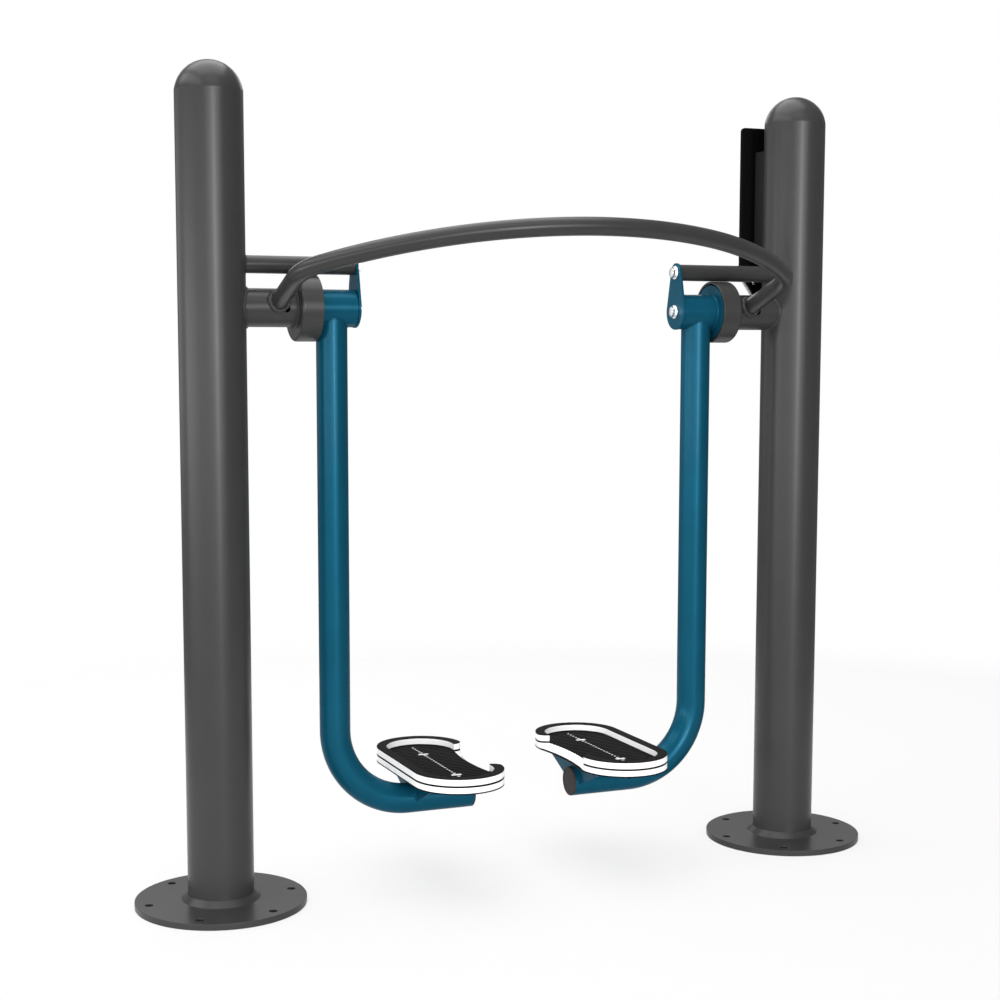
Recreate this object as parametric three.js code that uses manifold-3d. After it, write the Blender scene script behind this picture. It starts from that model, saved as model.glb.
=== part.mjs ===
// Outdoor air walker: two posts carry two swinging legs with foot boards, and one arched handlebar.
// Millimetres, Z up. The handlebar is on the front, -Y, and left and right are as seen from there.
// Pieces are drawn for the right-hand side, +X, and mirrored for the left.
import * as THREE from 'three';
import { mergeVertices } from 'three/addons/utils/BufferGeometryUtils.js';
import Module from 'manifold-3d';

const wasm = await Module();
wasm.setup();

// Driving dimensions of the posts and their feet
const postSpacing = 1260;
const postDiameter = 127;
const postWall = 4;
const postHeight = 1595;
const flangeDiameter = 330;
const flangeThickness = 12;
const boltCircleDiameter = 280;
const boltHoleDiameter = 16;
const boltHoleCount = 6;
const collarWidth = 12;
const collarHeight = 12;

// Stub arms, stop drums and the axles that they hold
const axleHeight = 1143;
const stubDiameter = 73;
const stubWall = 4;
const drumDiameter = 127;
const drumWall = 5;
const drumLength = 42.5;
const drumBackThickness = 8;
const axleDiameter = 35;
const axleTail = 8;

// Rubber stops in each drum and the tongue that swings between them
const swingLimit = THREE.MathUtils.degToRad(45);
const tongueWidth = 14;
const tongueHeight = 15;
const tongueLength = 24;
const stopSpare = THREE.MathUtils.degToRad(1);
const bumperSpan = THREE.MathUtils.degToRad(15);
const stopRibSpan = THREE.MathUtils.degToRad(9);
const bumperInset = 2;

// Hub of each leg
const legSpacing = 794.6;
const sleeveDiameter = 72;
const sleeveLength = 76.5;
const sleeveInboardLength = 43.8;
const bearingOuterDiameter = 62;
const bearingWidth = 14;
const bearingRecess = 2;
const bearingShoulder = 2;
const discThickness = 6;
const discGap = 2.7;
const discBoreGap = 2.5;

// Link plate, support tube and the bolts on them
const supportDiameter = 33.7;
const supportWall = 3.2;
const supportPlugLength = 20;
const linkThickness = 5;
const linkFootRadius = 37;
const linkHeadRadius = 19.5;
const boltDiameter = 12;
const boltHeadAcrossFlats = 19;
const boltHeadHeight = 7.5;
const boltGrip = 18;
const tapSpareDepth = 6;
const washerDiameter = 28;
const washerThickness = 2.5;

// Leg tubes
const legDiameter = 60.3;
const legWall = 3.6;
const legBendRadius = 150;
const runHeight = 170.2;
const runPastSaddle = 11;
const plugRimThickness = 4;
const plugSpigotLength = 18;

// Foot boards and what carries them
const pedalLength = 395.6;
const pedalWidth = 180.8;
const pedalForward = 1.8;
const boardThickness = 15.5;
const boardRise = 47.8;
const rimWidth = 20;
const rimOpening = 194;
const waistDepth = 8.6;
const waistBevel = 20;
const saddleToBend = 8.3;
const saddleThickness = 5;
const saddleSpan = 118;
const saddleTopLength = 280;
const saddleLip = 2.5;
const carrierThickness = 4;
const carrierInset = 10;
const screwInset = 44.3;
const screwDiameter = 8;
const screwHeadDiameter = 16;
const screwHeadHeight = 4.5;
const screwCover = 4;

// Handlebar, given in its own plane, which rises to the front from the axle line
const barDiameter = 33.7;
const barWall = 2.6;
const barTilt = THREE.MathUtils.degToRad(19.8);
const barFootInset = 121;
const barReach = 412.3;
const barStraightEnd = 148.1;
const barBendRadius = 93;

// Information board behind the right post
const boardWidth = 166;
const boardTopDrop = 58;
const boardLength = 377;
const boardTaper = 72;
const boardFootWidth = 61;
const boardCorner = 8;
const boardBack = 75;
const backPlateThickness = 8;
const frontPanelThickness = 6;
const frontPanelInset = 4;
const frontPanelDrop = 5;
const bracketWidth = 104;
const bracketTopDrop = 52;
const bracketLength = 210;
const bracketWall = 3;
const fixingSpacing = 99;
const fixingRise = 49;
const fixingDiameter = 4;
const fixingHeadDiameter = 8;
const fixingHeadHeight = 2.4;
const fixingTipCover = 2;

// Clearances: between pieces that are joined or cut to each other, and where one turns in or on another
const seatGap = 0.3;
const runningGap = 0.5;
const cutOverrun = 1;

// Facets
const postSides = 36;
const hubSides = 24;
const tubeSides = 24;
const boreSides = 12;
const pinSides = 12;
const hexSides = 6;
const domeRings = 6;
const domeBoreRings = 3;
const cornerSteps = 2;
const legBendSteps = 8;
const barArchSteps = 18;
const barBendSteps = 5;
const boardArcSteps = 8;
const stopArcSteps = 3;

// Places that follow from the sizes
const postRadius = postDiameter / 2;
const postX = postSpacing / 2;
const domeBase = postHeight - postRadius;
const legX = legSpacing / 2;
const sleeveInner = legX - sleeveInboardLength;
const sleeveOuter = sleeveInner + sleeveLength;
const linkOuter = sleeveInner - runningGap;
const linkInner = linkOuter - linkThickness;
const drumOuter = sleeveOuter + drumLength;
const drumBack = drumOuter - drumBackThickness;
const drumBoreRadius = drumDiameter / 2 - drumWall;
const discRadius = drumBoreRadius - discGap;
const discOuter = sleeveOuter + discThickness;
const supportHeight = axleHeight + drumDiameter / 2 + supportDiameter / 2 + seatGap;
const legRadius = legDiameter / 2;
const pedalX = legX - legBendRadius - saddleToBend - saddleSpan / 2;
const saddleInner = pedalX - saddleSpan / 2;
const saddleOuter = pedalX + saddleSpan / 2 - saddleThickness;
const runEnd = saddleInner - runPastSaddle;
const screwPlaces = [screwInset - saddleTopLength / 2, saddleTopLength / 2 - screwInset];
const boardHeight = runHeight + boardRise;
const rimHeight = boardHeight + boardThickness;
const boardTop = postHeight - boardTopDrop;
const boardBottom = boardTop - boardLength;
const boardShoulder = boardBottom + boardTaper;
const bracketTop = boardTop - bracketTopDrop;
const bracketBottom = bracketTop - bracketLength;
const fixingHeight = boardBottom + fixingRise;
const fixingPlaces = [-fixingSpacing / 2, fixingSpacing / 2];
const fixingTip = boardBack + backPlateThickness + frontPanelThickness - fixingTipCover;
const reachForward = barReach * Math.cos(barTilt) + barDiameter / 2;
const reachBack = Math.max(flangeDiameter / 2, pedalLength / 2 - pedalForward);
const originShift = (reachForward - reachBack) / 2;

// Plain closed shapes

// Turns a profile of (radius, place along the axis) points about the vertical.
function turnedUpright(points, sides) {
  return new THREE.LatheGeometry(points, sides).rotateX(Math.PI / 2);
}

// The same, about the left-to-right line; the place along the axis is then an X.
function turnedAcross(points, sides) {
  return new THREE.LatheGeometry(points, sides).rotateZ(-Math.PI / 2);
}

function point(across, along) {
  return new THREE.Vector2(across, along);
}

// A closed profile of a tube or ring between two radii.
function ringProfile(inner, outer, from, to) {
  return [point(inner, from), point(outer, from), point(outer, to), point(inner, to), point(inner, from)];
}

// A profile of a solid round bar that starts and ends on the axis.
function barProfile(radius, from, to) {
  return [point(0, from), point(radius, from), point(radius, to), point(0, to)];
}

function roundOutline(radius, sides) {
  const outline = [];
  for (let i = 0; i < sides; i += 1) {
    const angle = (i / sides) * 2 * Math.PI;
    outline.push(point(radius * Math.cos(angle), radius * Math.sin(angle)));
  }
  return outline;
}

function pipeSection(diameter, wall) {
  const section = new THREE.Shape(roundOutline(diameter / 2, tubeSides));
  section.holes.push(new THREE.Path(roundOutline(diameter / 2 - wall, boreSides)));
  return section;
}

// Extrudes a plan outline upwards from a height.
function plate(outline, height, thickness) {
  const settings = { depth: thickness, bevelEnabled: false, curveSegments: boardArcSteps };
  return new THREE.ExtrudeGeometry(outline, settings).translate(0, 0, height);
}

// Extrudes an outline drawn in (Y, Z) along +X from an X.
function sidePlate(outline, from, thickness) {
  const settings = { depth: thickness, bevelEnabled: false, curveSegments: boardArcSteps };
  const shape = new THREE.ExtrudeGeometry(outline, settings);
  return shape.rotateX(Math.PI / 2).rotateZ(Math.PI / 2).translate(from, 0, 0);
}

// Extrudes an outline drawn in (X, Z) backwards, along +Y, from a Y.
function uprightPlate(outline, from, thickness) {
  const settings = { depth: thickness, bevelEnabled: false, curveSegments: cornerSteps };
  const shape = new THREE.ExtrudeGeometry(outline, settings);
  return shape.rotateX(Math.PI / 2).translate(0, from + thickness, 0);
}

// A centre line given station by station, so that a straight run is one step of the sweep.
class StationLine extends THREE.Curve {
  constructor(stations) {
    super();
    this.stations = stations;
  }

  at(share) {
    return this.stations[Math.round(share * (this.stations.length - 1))];
  }

  getPointAt(share) {
    return this.at(share).place.clone();
  }

  getTangentAt(share) {
    return this.at(share).heading.clone();
  }
}

function sweep(section, stations) {
  const extrudePath = new StationLine(stations);
  const settings = { steps: stations.length - 1, bevelEnabled: false, extrudePath };
  return new THREE.ExtrudeGeometry(section, settings);
}

// Booleans

function solidOf(geometry) {
  const bare = facingOut(geometry);
  bare.deleteAttribute('normal');
  bare.deleteAttribute('uv');
  const merged = mergeVertices(bare);
  const corners = merged.index.array;
  const triangles = [];
  for (let i = 0; i < corners.length; i += 3) {
    const [a, b, c] = corners.slice(i, i + 3);
    if (a !== b && b !== c && c !== a) triangles.push(a, b, c);
  }
  const vertProperties = Float32Array.from(merged.attributes.position.array);
  const triVerts = Uint32Array.from(triangles);
  return new wasm.Manifold(new wasm.Mesh({ numProp: 3, vertProperties, triVerts }));
}

function geometryOf(solid) {
  const mesh = solid.getMesh();
  const geometry = new THREE.BufferGeometry();
  geometry.setAttribute('position', new THREE.BufferAttribute(mesh.vertProperties, 3));
  geometry.setIndex(new THREE.BufferAttribute(mesh.triVerts, 1));
  return geometry;
}

function joined(first, ...others) {
  return geometryOf(others.reduce((whole, other) => whole.add(solidOf(other)), solidOf(first)));
}

function cut(blank, ...cutters) {
  return geometryOf(cutters.reduce((whole, cutter) => whole.subtract(solidOf(cutter)), solidOf(blank)));
}

// Six times the enclosed volume, summed as tetrahedra from the origin.
function signedVolume(places, corners) {
  const [a, b, c] = [new THREE.Vector3(), new THREE.Vector3(), new THREE.Vector3()];
  let sum = 0;
  for (let i = 0; i < corners.length; i += 3) {
    a.fromBufferAttribute(places, corners[i]);
    b.fromBufferAttribute(places, corners[i + 1]);
    c.fromBufferAttribute(places, corners[i + 2]);
    sum += a.dot(b.cross(c));
  }
  return sum;
}

// A copy whose faces all point out of the closed surface.
function facingOut(geometry) {
  const copy = geometry.index ? geometry.clone() : mergeVertices(geometry);
  const corners = Array.from(copy.index.array);
  if (signedVolume(copy.attributes.position, corners) < 0) {
    for (let i = 0; i < corners.length; i += 3) {
      [corners[i], corners[i + 1]] = [corners[i + 1], corners[i]];
    }
    copy.setIndex(corners);
  }
  return copy;
}

// Cutters along the standing post and along the axle line
function postCutter() {
  const profile = barProfile(postRadius + seatGap, -cutOverrun, postHeight);
  return turnedUpright(profile, postSides).translate(postX, 0, 0);
}

function axleLineBar(radius, from, to, sides) {
  return turnedAcross(barProfile(radius, from, to), sides).translate(0, 0, axleHeight);
}

// Post and foot

function postTube() {
  const profile = ringProfile(postRadius - postWall, postRadius, flangeThickness, domeBase);
  return turnedUpright(profile, postSides).translate(postX, 0, 0);
}

// A quarter circle from the rim to the crown, or back.
function quarterArc(radius, rings, downwards) {
  const arc = [];
  for (let i = 0; i <= rings; i += 1) {
    const angle = ((downwards ? rings - i : i) / rings) * (Math.PI / 2);
    const onAxis = downwards ? i === 0 : i === rings;
    arc.push(point(onAxis ? 0 : radius * Math.cos(angle), domeBase + radius * Math.sin(angle)));
  }
  return arc;
}

function postDome() {
  const outside = quarterArc(postRadius, domeRings, false);
  const inside = quarterArc(postRadius - postWall, domeBoreRings, true);
  return turnedUpright([...inside, ...outside], postSides).translate(postX, 0, 0);
}

// A disc with a conical neck that takes the post's foot, and a ring of empty anchor holes.
function baseFlange() {
  const seat = postRadius + seatGap;
  const profile = [
    point(0, 0),
    point(flangeDiameter / 2, 0),
    point(flangeDiameter / 2, flangeThickness),
    point(seat + collarWidth, flangeThickness),
    point(seat, flangeThickness + collarHeight),
    point(seat, flangeThickness),
    point(0, flangeThickness),
  ];
  const holes = [];
  for (let i = 0; i < boltHoleCount; i += 1) {
    const angle = (i / boltHoleCount) * 2 * Math.PI;
    const drill = barProfile(boltHoleDiameter / 2, -cutOverrun, flangeThickness + cutOverrun);
    const place = point(Math.cos(angle), Math.sin(angle)).multiplyScalar(boltCircleDiameter / 2);
    holes.push(turnedUpright(drill, pinSides).translate(place.x, place.y, 0));
  }
  return cut(turnedUpright(profile, postSides), ...holes).translate(postX, 0, 0);
}

// Stub arm, drum and axle

function stubArm() {
  const profile = ringProfile(stubDiameter / 2 - stubWall, stubDiameter / 2, drumOuter, postX);
  return cut(turnedAcross(profile, hubSides).translate(0, 0, axleHeight), postCutter());
}

// A sector of a ring about the axle line; angles are measured from straight down, towards the back.
function stopSector(inner, outer, start, span, from, to) {
  const outline = [];
  for (let i = 0; i <= stopArcSteps; i += 1) {
    const angle = start + (i / stopArcSteps) * span;
    outline.push(point(outer * Math.sin(angle), axleHeight - outer * Math.cos(angle)));
  }
  for (let i = stopArcSteps; i >= 0; i -= 1) {
    const angle = start + (i / stopArcSteps) * span;
    outline.push(point(inner * Math.sin(angle), axleHeight - inner * Math.cos(angle)));
  }
  return sidePlate(new THREE.Shape(outline), from, to - from);
}

const tongueInner = discRadius - tongueHeight;
const bumperStart = swingLimit + stopSpare + Math.asin(tongueWidth / 2 / tongueInner);
const stopRibStart = bumperStart + bumperSpan + seatGap / tongueInner;
const bumperInner = discOuter + bumperInset;
const bumperOuter = bumperInner + tongueLength - bumperInset;

function stopRib(towardsBack) {
  const start = towardsBack ? stopRibStart : -stopRibStart - stopRibSpan;
  const outer = drumBoreRadius + drumWall / 2;
  return stopSector(tongueInner, outer, start, stopRibSpan, bumperInner, drumBack + cutOverrun);
}

// A cup that opens towards the leg, with a bored back and two ribs that back the rubber stops.
function stopDrum() {
  const profile = [
    point(axleDiameter / 2 + seatGap, drumOuter),
    point(axleDiameter / 2 + seatGap, drumBack),
    point(drumBoreRadius, drumBack),
    point(drumBoreRadius, sleeveOuter),
    point(drumDiameter / 2, sleeveOuter),
    point(drumDiameter / 2, drumOuter),
    point(axleDiameter / 2 + seatGap, drumOuter),
  ];
  const cup = turnedAcross(profile, postSides).translate(0, 0, axleHeight);
  return joined(cup, stopRib(true), stopRib(false));
}

function bumper(towardsBack) {
  const start = towardsBack ? bumperStart : -bumperStart - bumperSpan;
  const outer = drumBoreRadius * Math.cos(Math.PI / postSides) - seatGap;
  return stopSector(tongueInner, outer, start, bumperSpan, bumperInner, bumperOuter);
}

// A ground bar, welded in the drum's back and tapped at the other end for the link plate's bolt.
function axleShaft() {
  const tap = boltDiameter / 2 + seatGap;
  const tapEnd = linkOuter + boltGrip + tapSpareDepth;
  const profile = [
    point(0, tapEnd),
    point(tap, tapEnd),
    point(tap, linkOuter),
    point(axleDiameter / 2, linkOuter),
    point(axleDiameter / 2, drumOuter + axleTail),
    point(0, drumOuter + axleTail),
  ];
  return turnedAcross(profile, hubSides).translate(0, 0, axleHeight);
}

// Link plate, support tube and bolts

// Two round ends of different radius joined by their common tangents.
function linkPlate() {
  const rise = supportHeight - axleHeight;
  const lean = Math.asin((linkFootRadius - linkHeadRadius) / rise);
  const outline = new THREE.Shape();
  outline.absarc(0, axleHeight, linkFootRadius, Math.PI - lean, lean, false);
  outline.absarc(0, supportHeight, linkHeadRadius, lean, Math.PI - lean, false);
  const blank = sidePlate(outline, linkInner, linkThickness);
  const drill = barProfile(boltDiameter / 2 + seatGap, linkInner - cutOverrun, linkOuter + cutOverrun);
  const holes = [axleHeight, supportHeight].map((z) => turnedAcross(drill, pinSides).translate(0, 0, z));
  return cut(blank, ...holes);
}

// A tube with a tapped plug at the link plate, coped to the post.
function supportTube() {
  const tap = boltDiameter / 2 + seatGap;
  const bore = supportDiameter / 2 - supportWall;
  const profile = [
    point(tap, linkOuter),
    point(supportDiameter / 2, linkOuter),
    point(supportDiameter / 2, postX),
    point(bore, postX),
    point(bore, linkOuter + supportPlugLength),
    point(tap, linkOuter + supportPlugLength),
    point(tap, linkOuter),
  ];
  return cut(turnedAcross(profile, tubeSides).translate(0, 0, supportHeight), postCutter());
}

function hexBolt(height) {
  const headOuter = linkInner - washerThickness;
  const headInner = headOuter - boltHeadHeight;
  const cornerRadius = boltHeadAcrossFlats / 2 / Math.cos(Math.PI / hexSides);
  const head = turnedAcross(barProfile(cornerRadius, headInner, headOuter), hexSides);
  const shank = turnedAcross(barProfile(boltDiameter / 2, headInner, linkOuter + boltGrip), pinSides);
  return joined(head, shank).translate(0, 0, height);
}

function washer(height) {
  const hole = boltDiameter / 2 + seatGap;
  const profile = ringProfile(hole, washerDiameter / 2, linkInner - washerThickness, linkInner);
  return turnedAcross(profile, pinSides).translate(0, 0, height);
}

// Hub and leg

function hubSleeve() {
  const seat = bearingOuterDiameter / 2 + seatGap;
  const seatDepth = bearingRecess + bearingWidth;
  const profile = [
    point(seat, sleeveInner),
    point(sleeveDiameter / 2, sleeveInner),
    point(sleeveDiameter / 2, sleeveOuter),
    point(seat, sleeveOuter),
    point(seat, sleeveOuter - seatDepth),
    point(seat - bearingShoulder, sleeveOuter - seatDepth),
    point(seat - bearingShoulder, sleeveInner + seatDepth),
    point(seat, sleeveInner + seatDepth),
    point(seat, sleeveInner),
  ];
  return turnedAcross(profile, hubSides).translate(0, 0, axleHeight);
}

// A sealed ball bearing, as one ring.
function bearing(from) {
  const bore = axleDiameter / 2 + seatGap;
  const profile = ringProfile(bore, bearingOuterDiameter / 2, from, from + bearingWidth);
  return turnedAcross(profile, hubSides).translate(0, 0, axleHeight);
}

// A disc that closes the drum's mouth and carries the tongue between the stops.
function stopDisc() {
  const bore = axleDiameter / 2 + discBoreGap;
  const profile = ringProfile(bore, discRadius, sleeveOuter, discOuter);
  const disc = turnedAcross(profile, postSides).translate(0, 0, axleHeight);
  const tongueOuter = Math.sqrt(discRadius ** 2 - (tongueWidth / 2) ** 2);
  const middle = axleHeight - (tongueInner + tongueOuter) / 2;
  const depth = tongueOuter - tongueInner;
  const tongue = new THREE.BoxGeometry(tongueLength + discThickness / 2, tongueWidth, depth);
  tongue.translate(discOuter + tongueLength / 2 - discThickness / 4, 0, middle);
  return joined(disc, tongue);
}

function station(x, y, z, headingX, headingY, headingZ) {
  return { place: new THREE.Vector3(x, y, z), heading: new THREE.Vector3(headingX, headingY, headingZ) };
}

// Down from the hub, round the bend and in under the foot board.
function legStations() {
  const bendTop = runHeight + legBendRadius;
  const stations = [station(legX, 0, axleHeight, 0, 0, -1)];
  for (let i = 0; i <= legBendSteps; i += 1) {
    const angle = (i / legBendSteps) * (Math.PI / 2);
    const x = legX - legBendRadius * (1 - Math.cos(angle));
    const z = bendTop - legBendRadius * Math.sin(angle);
    stations.push(station(x, 0, z, -Math.sin(angle), 0, -Math.cos(angle)));
  }
  stations.push(station(runEnd + plugRimThickness, 0, runHeight, -1, 0, 0));
  return stations;
}

function legTube() {
  const sleeveCutter = axleLineBar(sleeveDiameter / 2 + seatGap, 0, postX, hubSides);
  return cut(sweep(pipeSection(legDiameter, legWall), legStations()), sleeveCutter);
}

// A push-in plug: a rim against the tube's end and a spigot in its bore.
function legPlug() {
  const boreRadius = (legRadius - legWall) * Math.cos(Math.PI / boreSides) - seatGap;
  const rimInner = runEnd + plugRimThickness;
  const profile = [
    point(0, runEnd),
    point(legRadius, runEnd),
    point(legRadius, rimInner),
    point(boreRadius, rimInner),
    point(boreRadius, rimInner + plugSpigotLength),
    point(0, rimInner + plugSpigotLength),
  ];
  return turnedAcross(profile, tubeSides).translate(0, 0, runHeight);
}

// Foot board

// A wing-shaped plate that sits over the tube; its top edge carries the board.
function saddlePlate(from) {
  const half = saddleTopLength / 2;
  const foot = legRadius + saddleLip;
  const outline = new THREE.Shape([
    point(-half, boardHeight),
    point(-foot, runHeight),
    point(foot, runHeight),
    point(half, boardHeight),
  ]);
  const tube = barProfile(legRadius + seatGap, 0, postX);
  const tubeCutter = turnedAcross(tube, tubeSides).translate(0, 0, runHeight);
  return cut(sidePlate(outline, from, saddleThickness), tubeCutter);
}

// The hole for a screw that goes in from below: through the carrier and blind in the board.
function screwHole(y) {
  const hole = screwDiameter / 2 + seatGap;
  const open = boardHeight - carrierThickness - cutOverrun;
  const end = rimHeight - screwCover + seatGap;
  const profile = [
    point(0, open),
    point(hole, open),
    point(hole, end),
    point(0, end),
  ];
  return turnedUpright(profile, pinSides).translate(pedalX, y, 0);
}

// Its head bears on the carrier's underside, and the board closes over its tip.
function pedalScrew(y) {
  const seat = boardHeight - carrierThickness;
  const tip = rimHeight - screwCover;
  const profile = [
    point(0, seat - screwHeadHeight),
    point(screwHeadDiameter / 2, seat - screwHeadHeight),
    point(screwHeadDiameter / 2, seat),
    point(screwDiameter / 2, seat),
    point(screwDiameter / 2, tip),
    point(0, tip),
  ];
  return turnedUpright(profile, pinSides).translate(pedalX, y, 0);
}

// The plate between the saddles, flush with their tops, that the board is screwed to from below.
function pedalCarrier() {
  const inner = saddleInner + saddleThickness + seatGap;
  const outer = saddleOuter - seatGap;
  const half = saddleTopLength / 2 - carrierInset;
  const corners = [point(inner, -half), point(outer, -half), point(outer, half), point(inner, half)];
  const blank = plate(new THREE.Shape(corners), boardHeight - carrierThickness, carrierThickness);
  return cut(blank, ...screwPlaces.map(screwHole));
}

// The open side of the board: a shallow hollow whose wall slopes outwards to the underside.
function waistCutter() {
  const edge = pedalX - pedalWidth / 2;
  const open = rimOpening / 2;
  const radius = (open ** 2 + waistDepth ** 2) / (2 * waistDepth);
  const angle = Math.asin(open / radius);
  const outline = new THREE.Shape();
  outline.moveTo(edge - 2 * waistBevel, -open);
  outline.absarc(edge + waistDepth - radius, 0, radius, -angle, angle, false);
  outline.lineTo(edge - 2 * waistBevel, open);
  const slope = new THREE.Matrix4().makeShear(0, 0, 0, 0, waistBevel / boardThickness, 0);
  const blank = plate(outline, -cutOverrun, boardThickness + 2 * cutOverrun);
  return blank.applyMatrix4(slope).translate(0, -pedalForward, boardHeight);
}

function pedalBase() {
  const half = pedalWidth / 2;
  const straight = pedalLength / 2 - half;
  const outline = new THREE.Shape();
  outline.absarc(pedalX, straight, half, 0, Math.PI, false);
  outline.absarc(pedalX, -straight, half, Math.PI, 2 * Math.PI, false);
  const blank = plate(outline, boardHeight, boardThickness).translate(0, -pedalForward, 0);
  return cut(blank, waistCutter(), ...screwPlaces.map(screwHole));
}

// The raised edge round the foot, left open on the side towards the other leg.
function pedalRim() {
  const outer = pedalWidth / 2;
  const inner = outer - rimWidth;
  const straight = pedalLength / 2 - outer;
  const open = rimOpening / 2;
  const outline = new THREE.Shape();
  outline.moveTo(pedalX - outer, -open);
  outline.absarc(pedalX, -straight, outer, Math.PI, 2 * Math.PI, false);
  outline.absarc(pedalX, straight, outer, 0, Math.PI, false);
  outline.lineTo(pedalX - outer, open);
  outline.lineTo(pedalX - inner, open);
  outline.absarc(pedalX, straight, inner, Math.PI, 0, true);
  outline.absarc(pedalX, -straight, inner, 2 * Math.PI, Math.PI, true);
  outline.lineTo(pedalX - inner, -open);
  return plate(outline, rimHeight, boardThickness).translate(0, -pedalForward, 0);
}

// Handlebar

// A station of the bar's centre line: x across, and the distance ahead of the axle line in the bar's plane.
function barStation(x, ahead, headingX, headingAhead) {
  const [cos, sin] = [Math.cos(barTilt), Math.sin(barTilt)];
  const height = axleHeight + ahead * sin;
  return station(x, -ahead * cos, height, headingX, -headingAhead * cos, headingAhead * sin);
}

function barArc(centreX, centreAhead, radius, from, to, steps) {
  const stations = [];
  for (let i = 0; i <= steps; i += 1) {
    const angle = from + (i / steps) * (to - from);
    const [cos, sin] = [Math.cos(angle), Math.sin(angle)];
    stations.push(barStation(centreX + radius * sin, centreAhead + radius * cos, cos, -sin));
  }
  return stations;
}

// Foot, bend, arch, bend and foot; the arch's radius follows from the span, the reach and the bends.
function barStations() {
  const footX = postX - barFootInset;
  const across = footX - barBendRadius;
  const ahead = barReach - barStraightEnd;
  const archRadius = (across ** 2 + ahead ** 2 - barBendRadius ** 2) / (2 * (ahead - barBendRadius));
  const archCentre = barReach - archRadius;
  const archAngle = Math.atan2(across, barStraightEnd - archCentre);
  const quarter = Math.PI / 2;
  return [
    barStation(-footX, 0, 0, 1),
    ...barArc(-across, barStraightEnd, barBendRadius, -quarter, -archAngle, barBendSteps),
    ...barArc(0, archCentre, archRadius, -archAngle, archAngle, barArchSteps).slice(1),
    ...barArc(across, barStraightEnd, barBendRadius, archAngle, quarter, barBendSteps).slice(1),
    barStation(footX, 0, 0, -1),
  ];
}

function handlebar() {
  const stubCutter = axleLineBar(stubDiameter / 2 + seatGap, -postX, postX, hubSides);
  return cut(sweep(pipeSection(barDiameter, barWall), barStations()), stubCutter);
}

// Information board

// A folded channel whose edges meet the post and whose web carries the board.
function boardBracket() {
  const outer = bracketWidth / 2;
  const inner = outer - bracketWall;
  const outline = new THREE.Shape([
    point(-outer, 0),
    point(-inner, 0),
    point(-inner, boardBack - bracketWall),
    point(inner, boardBack - bracketWall),
    point(inner, 0),
    point(outer, 0),
    point(outer, boardBack),
    point(-outer, boardBack),
  ]);
  const channel = plate(outline, bracketBottom, bracketTop - bracketBottom).translate(postX, 0, 0);
  return cut(channel, postCutter());
}

// A sheet with rounded top corners and a narrowing foot, inset at its sides and top and dropped below.
function boardOutline(inset, drop) {
  const half = boardWidth / 2 - inset;
  const top = boardTop - inset;
  const foot = boardFootWidth / 2;
  const slope = (boardShoulder - boardBottom) / (boardWidth / 2 - foot);
  const shoulder = boardShoulder - inset * slope - drop;
  const outline = new THREE.Shape();
  outline.moveTo(-foot, boardBottom - drop);
  outline.lineTo(foot, boardBottom - drop);
  outline.lineTo(half, shoulder);
  outline.absarc(half - boardCorner, top - boardCorner, boardCorner, 0, Math.PI / 2, false);
  outline.absarc(boardCorner - half, top - boardCorner, boardCorner, Math.PI / 2, Math.PI, false);
  outline.lineTo(-half, shoulder);
  return outline;
}

function fixing(x, spare) {
  const profile = [
    point(0, boardBack - fixingHeadHeight),
    point(fixingHeadDiameter / 2, boardBack - fixingHeadHeight),
    point(fixingHeadDiameter / 2, boardBack),
    point(fixingDiameter / 2 + spare, boardBack),
    point(fixingDiameter / 2 + spare, fixingTip + spare),
    point(0, fixingTip + spare),
  ];
  return turnedUpright(profile, pinSides).rotateX(-Math.PI / 2).translate(x, 0, fixingHeight);
}

function backPlate() {
  const blank = uprightPlate(boardOutline(0, 0), boardBack, backPlateThickness);
  return cut(blank, ...fixingPlaces.map((x) => fixing(x, seatGap))).translate(postX, 0, 0);
}

function frontPanel() {
  const outline = boardOutline(frontPanelInset, frontPanelDrop);
  const blank = uprightPlate(outline, boardBack + backPlateThickness, frontPanelThickness);
  return cut(blank, ...fixingPlaces.map((x) => fixing(x, seatGap))).translate(postX, 0, 0);
}

// Finishes
const greyPaint = { color: 0x4b4c4e, roughness: 0.55, metalness: 0.1 };
const bluePaint = { color: 0x15506c, roughness: 0.4, metalness: 0.15 };
const brightSteel = { color: 0xc4c6c8, roughness: 0.25, metalness: 1 };
const groundSteel = { color: 0x8f9296, roughness: 0.3, metalness: 1 };
const stopRubber = { color: 0x18181a, roughness: 0.85, metalness: 0 };
const plugPlastic = { color: 0x262423, roughness: 0.6, metalness: 0 };
const boardPlastic = { color: 0x1c1c1e, roughness: 0.55, metalness: 0 };
const blackSheet = { color: 0x101112, roughness: 0.35, metalness: 0 };
const paleSheet = { color: 0xc9cccb, roughness: 0.5, metalness: 0 };

const part = new THREE.Group();
part.position.y = originShift;

function add(name, geometry, finish) {
  const mesh = new THREE.Mesh(facingOut(geometry), new THREE.MeshStandardMaterial(finish));
  mesh.name = name;
  part.add(mesh);
}

// A piece of the right-hand side, and its mirror image on the left.
function addPair(piece, geometry, finish) {
  add(`right_${piece}`, geometry, finish);
  add(`left_${piece}`, geometry.clone().scale(-1, 1, 1), finish);
}

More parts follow.
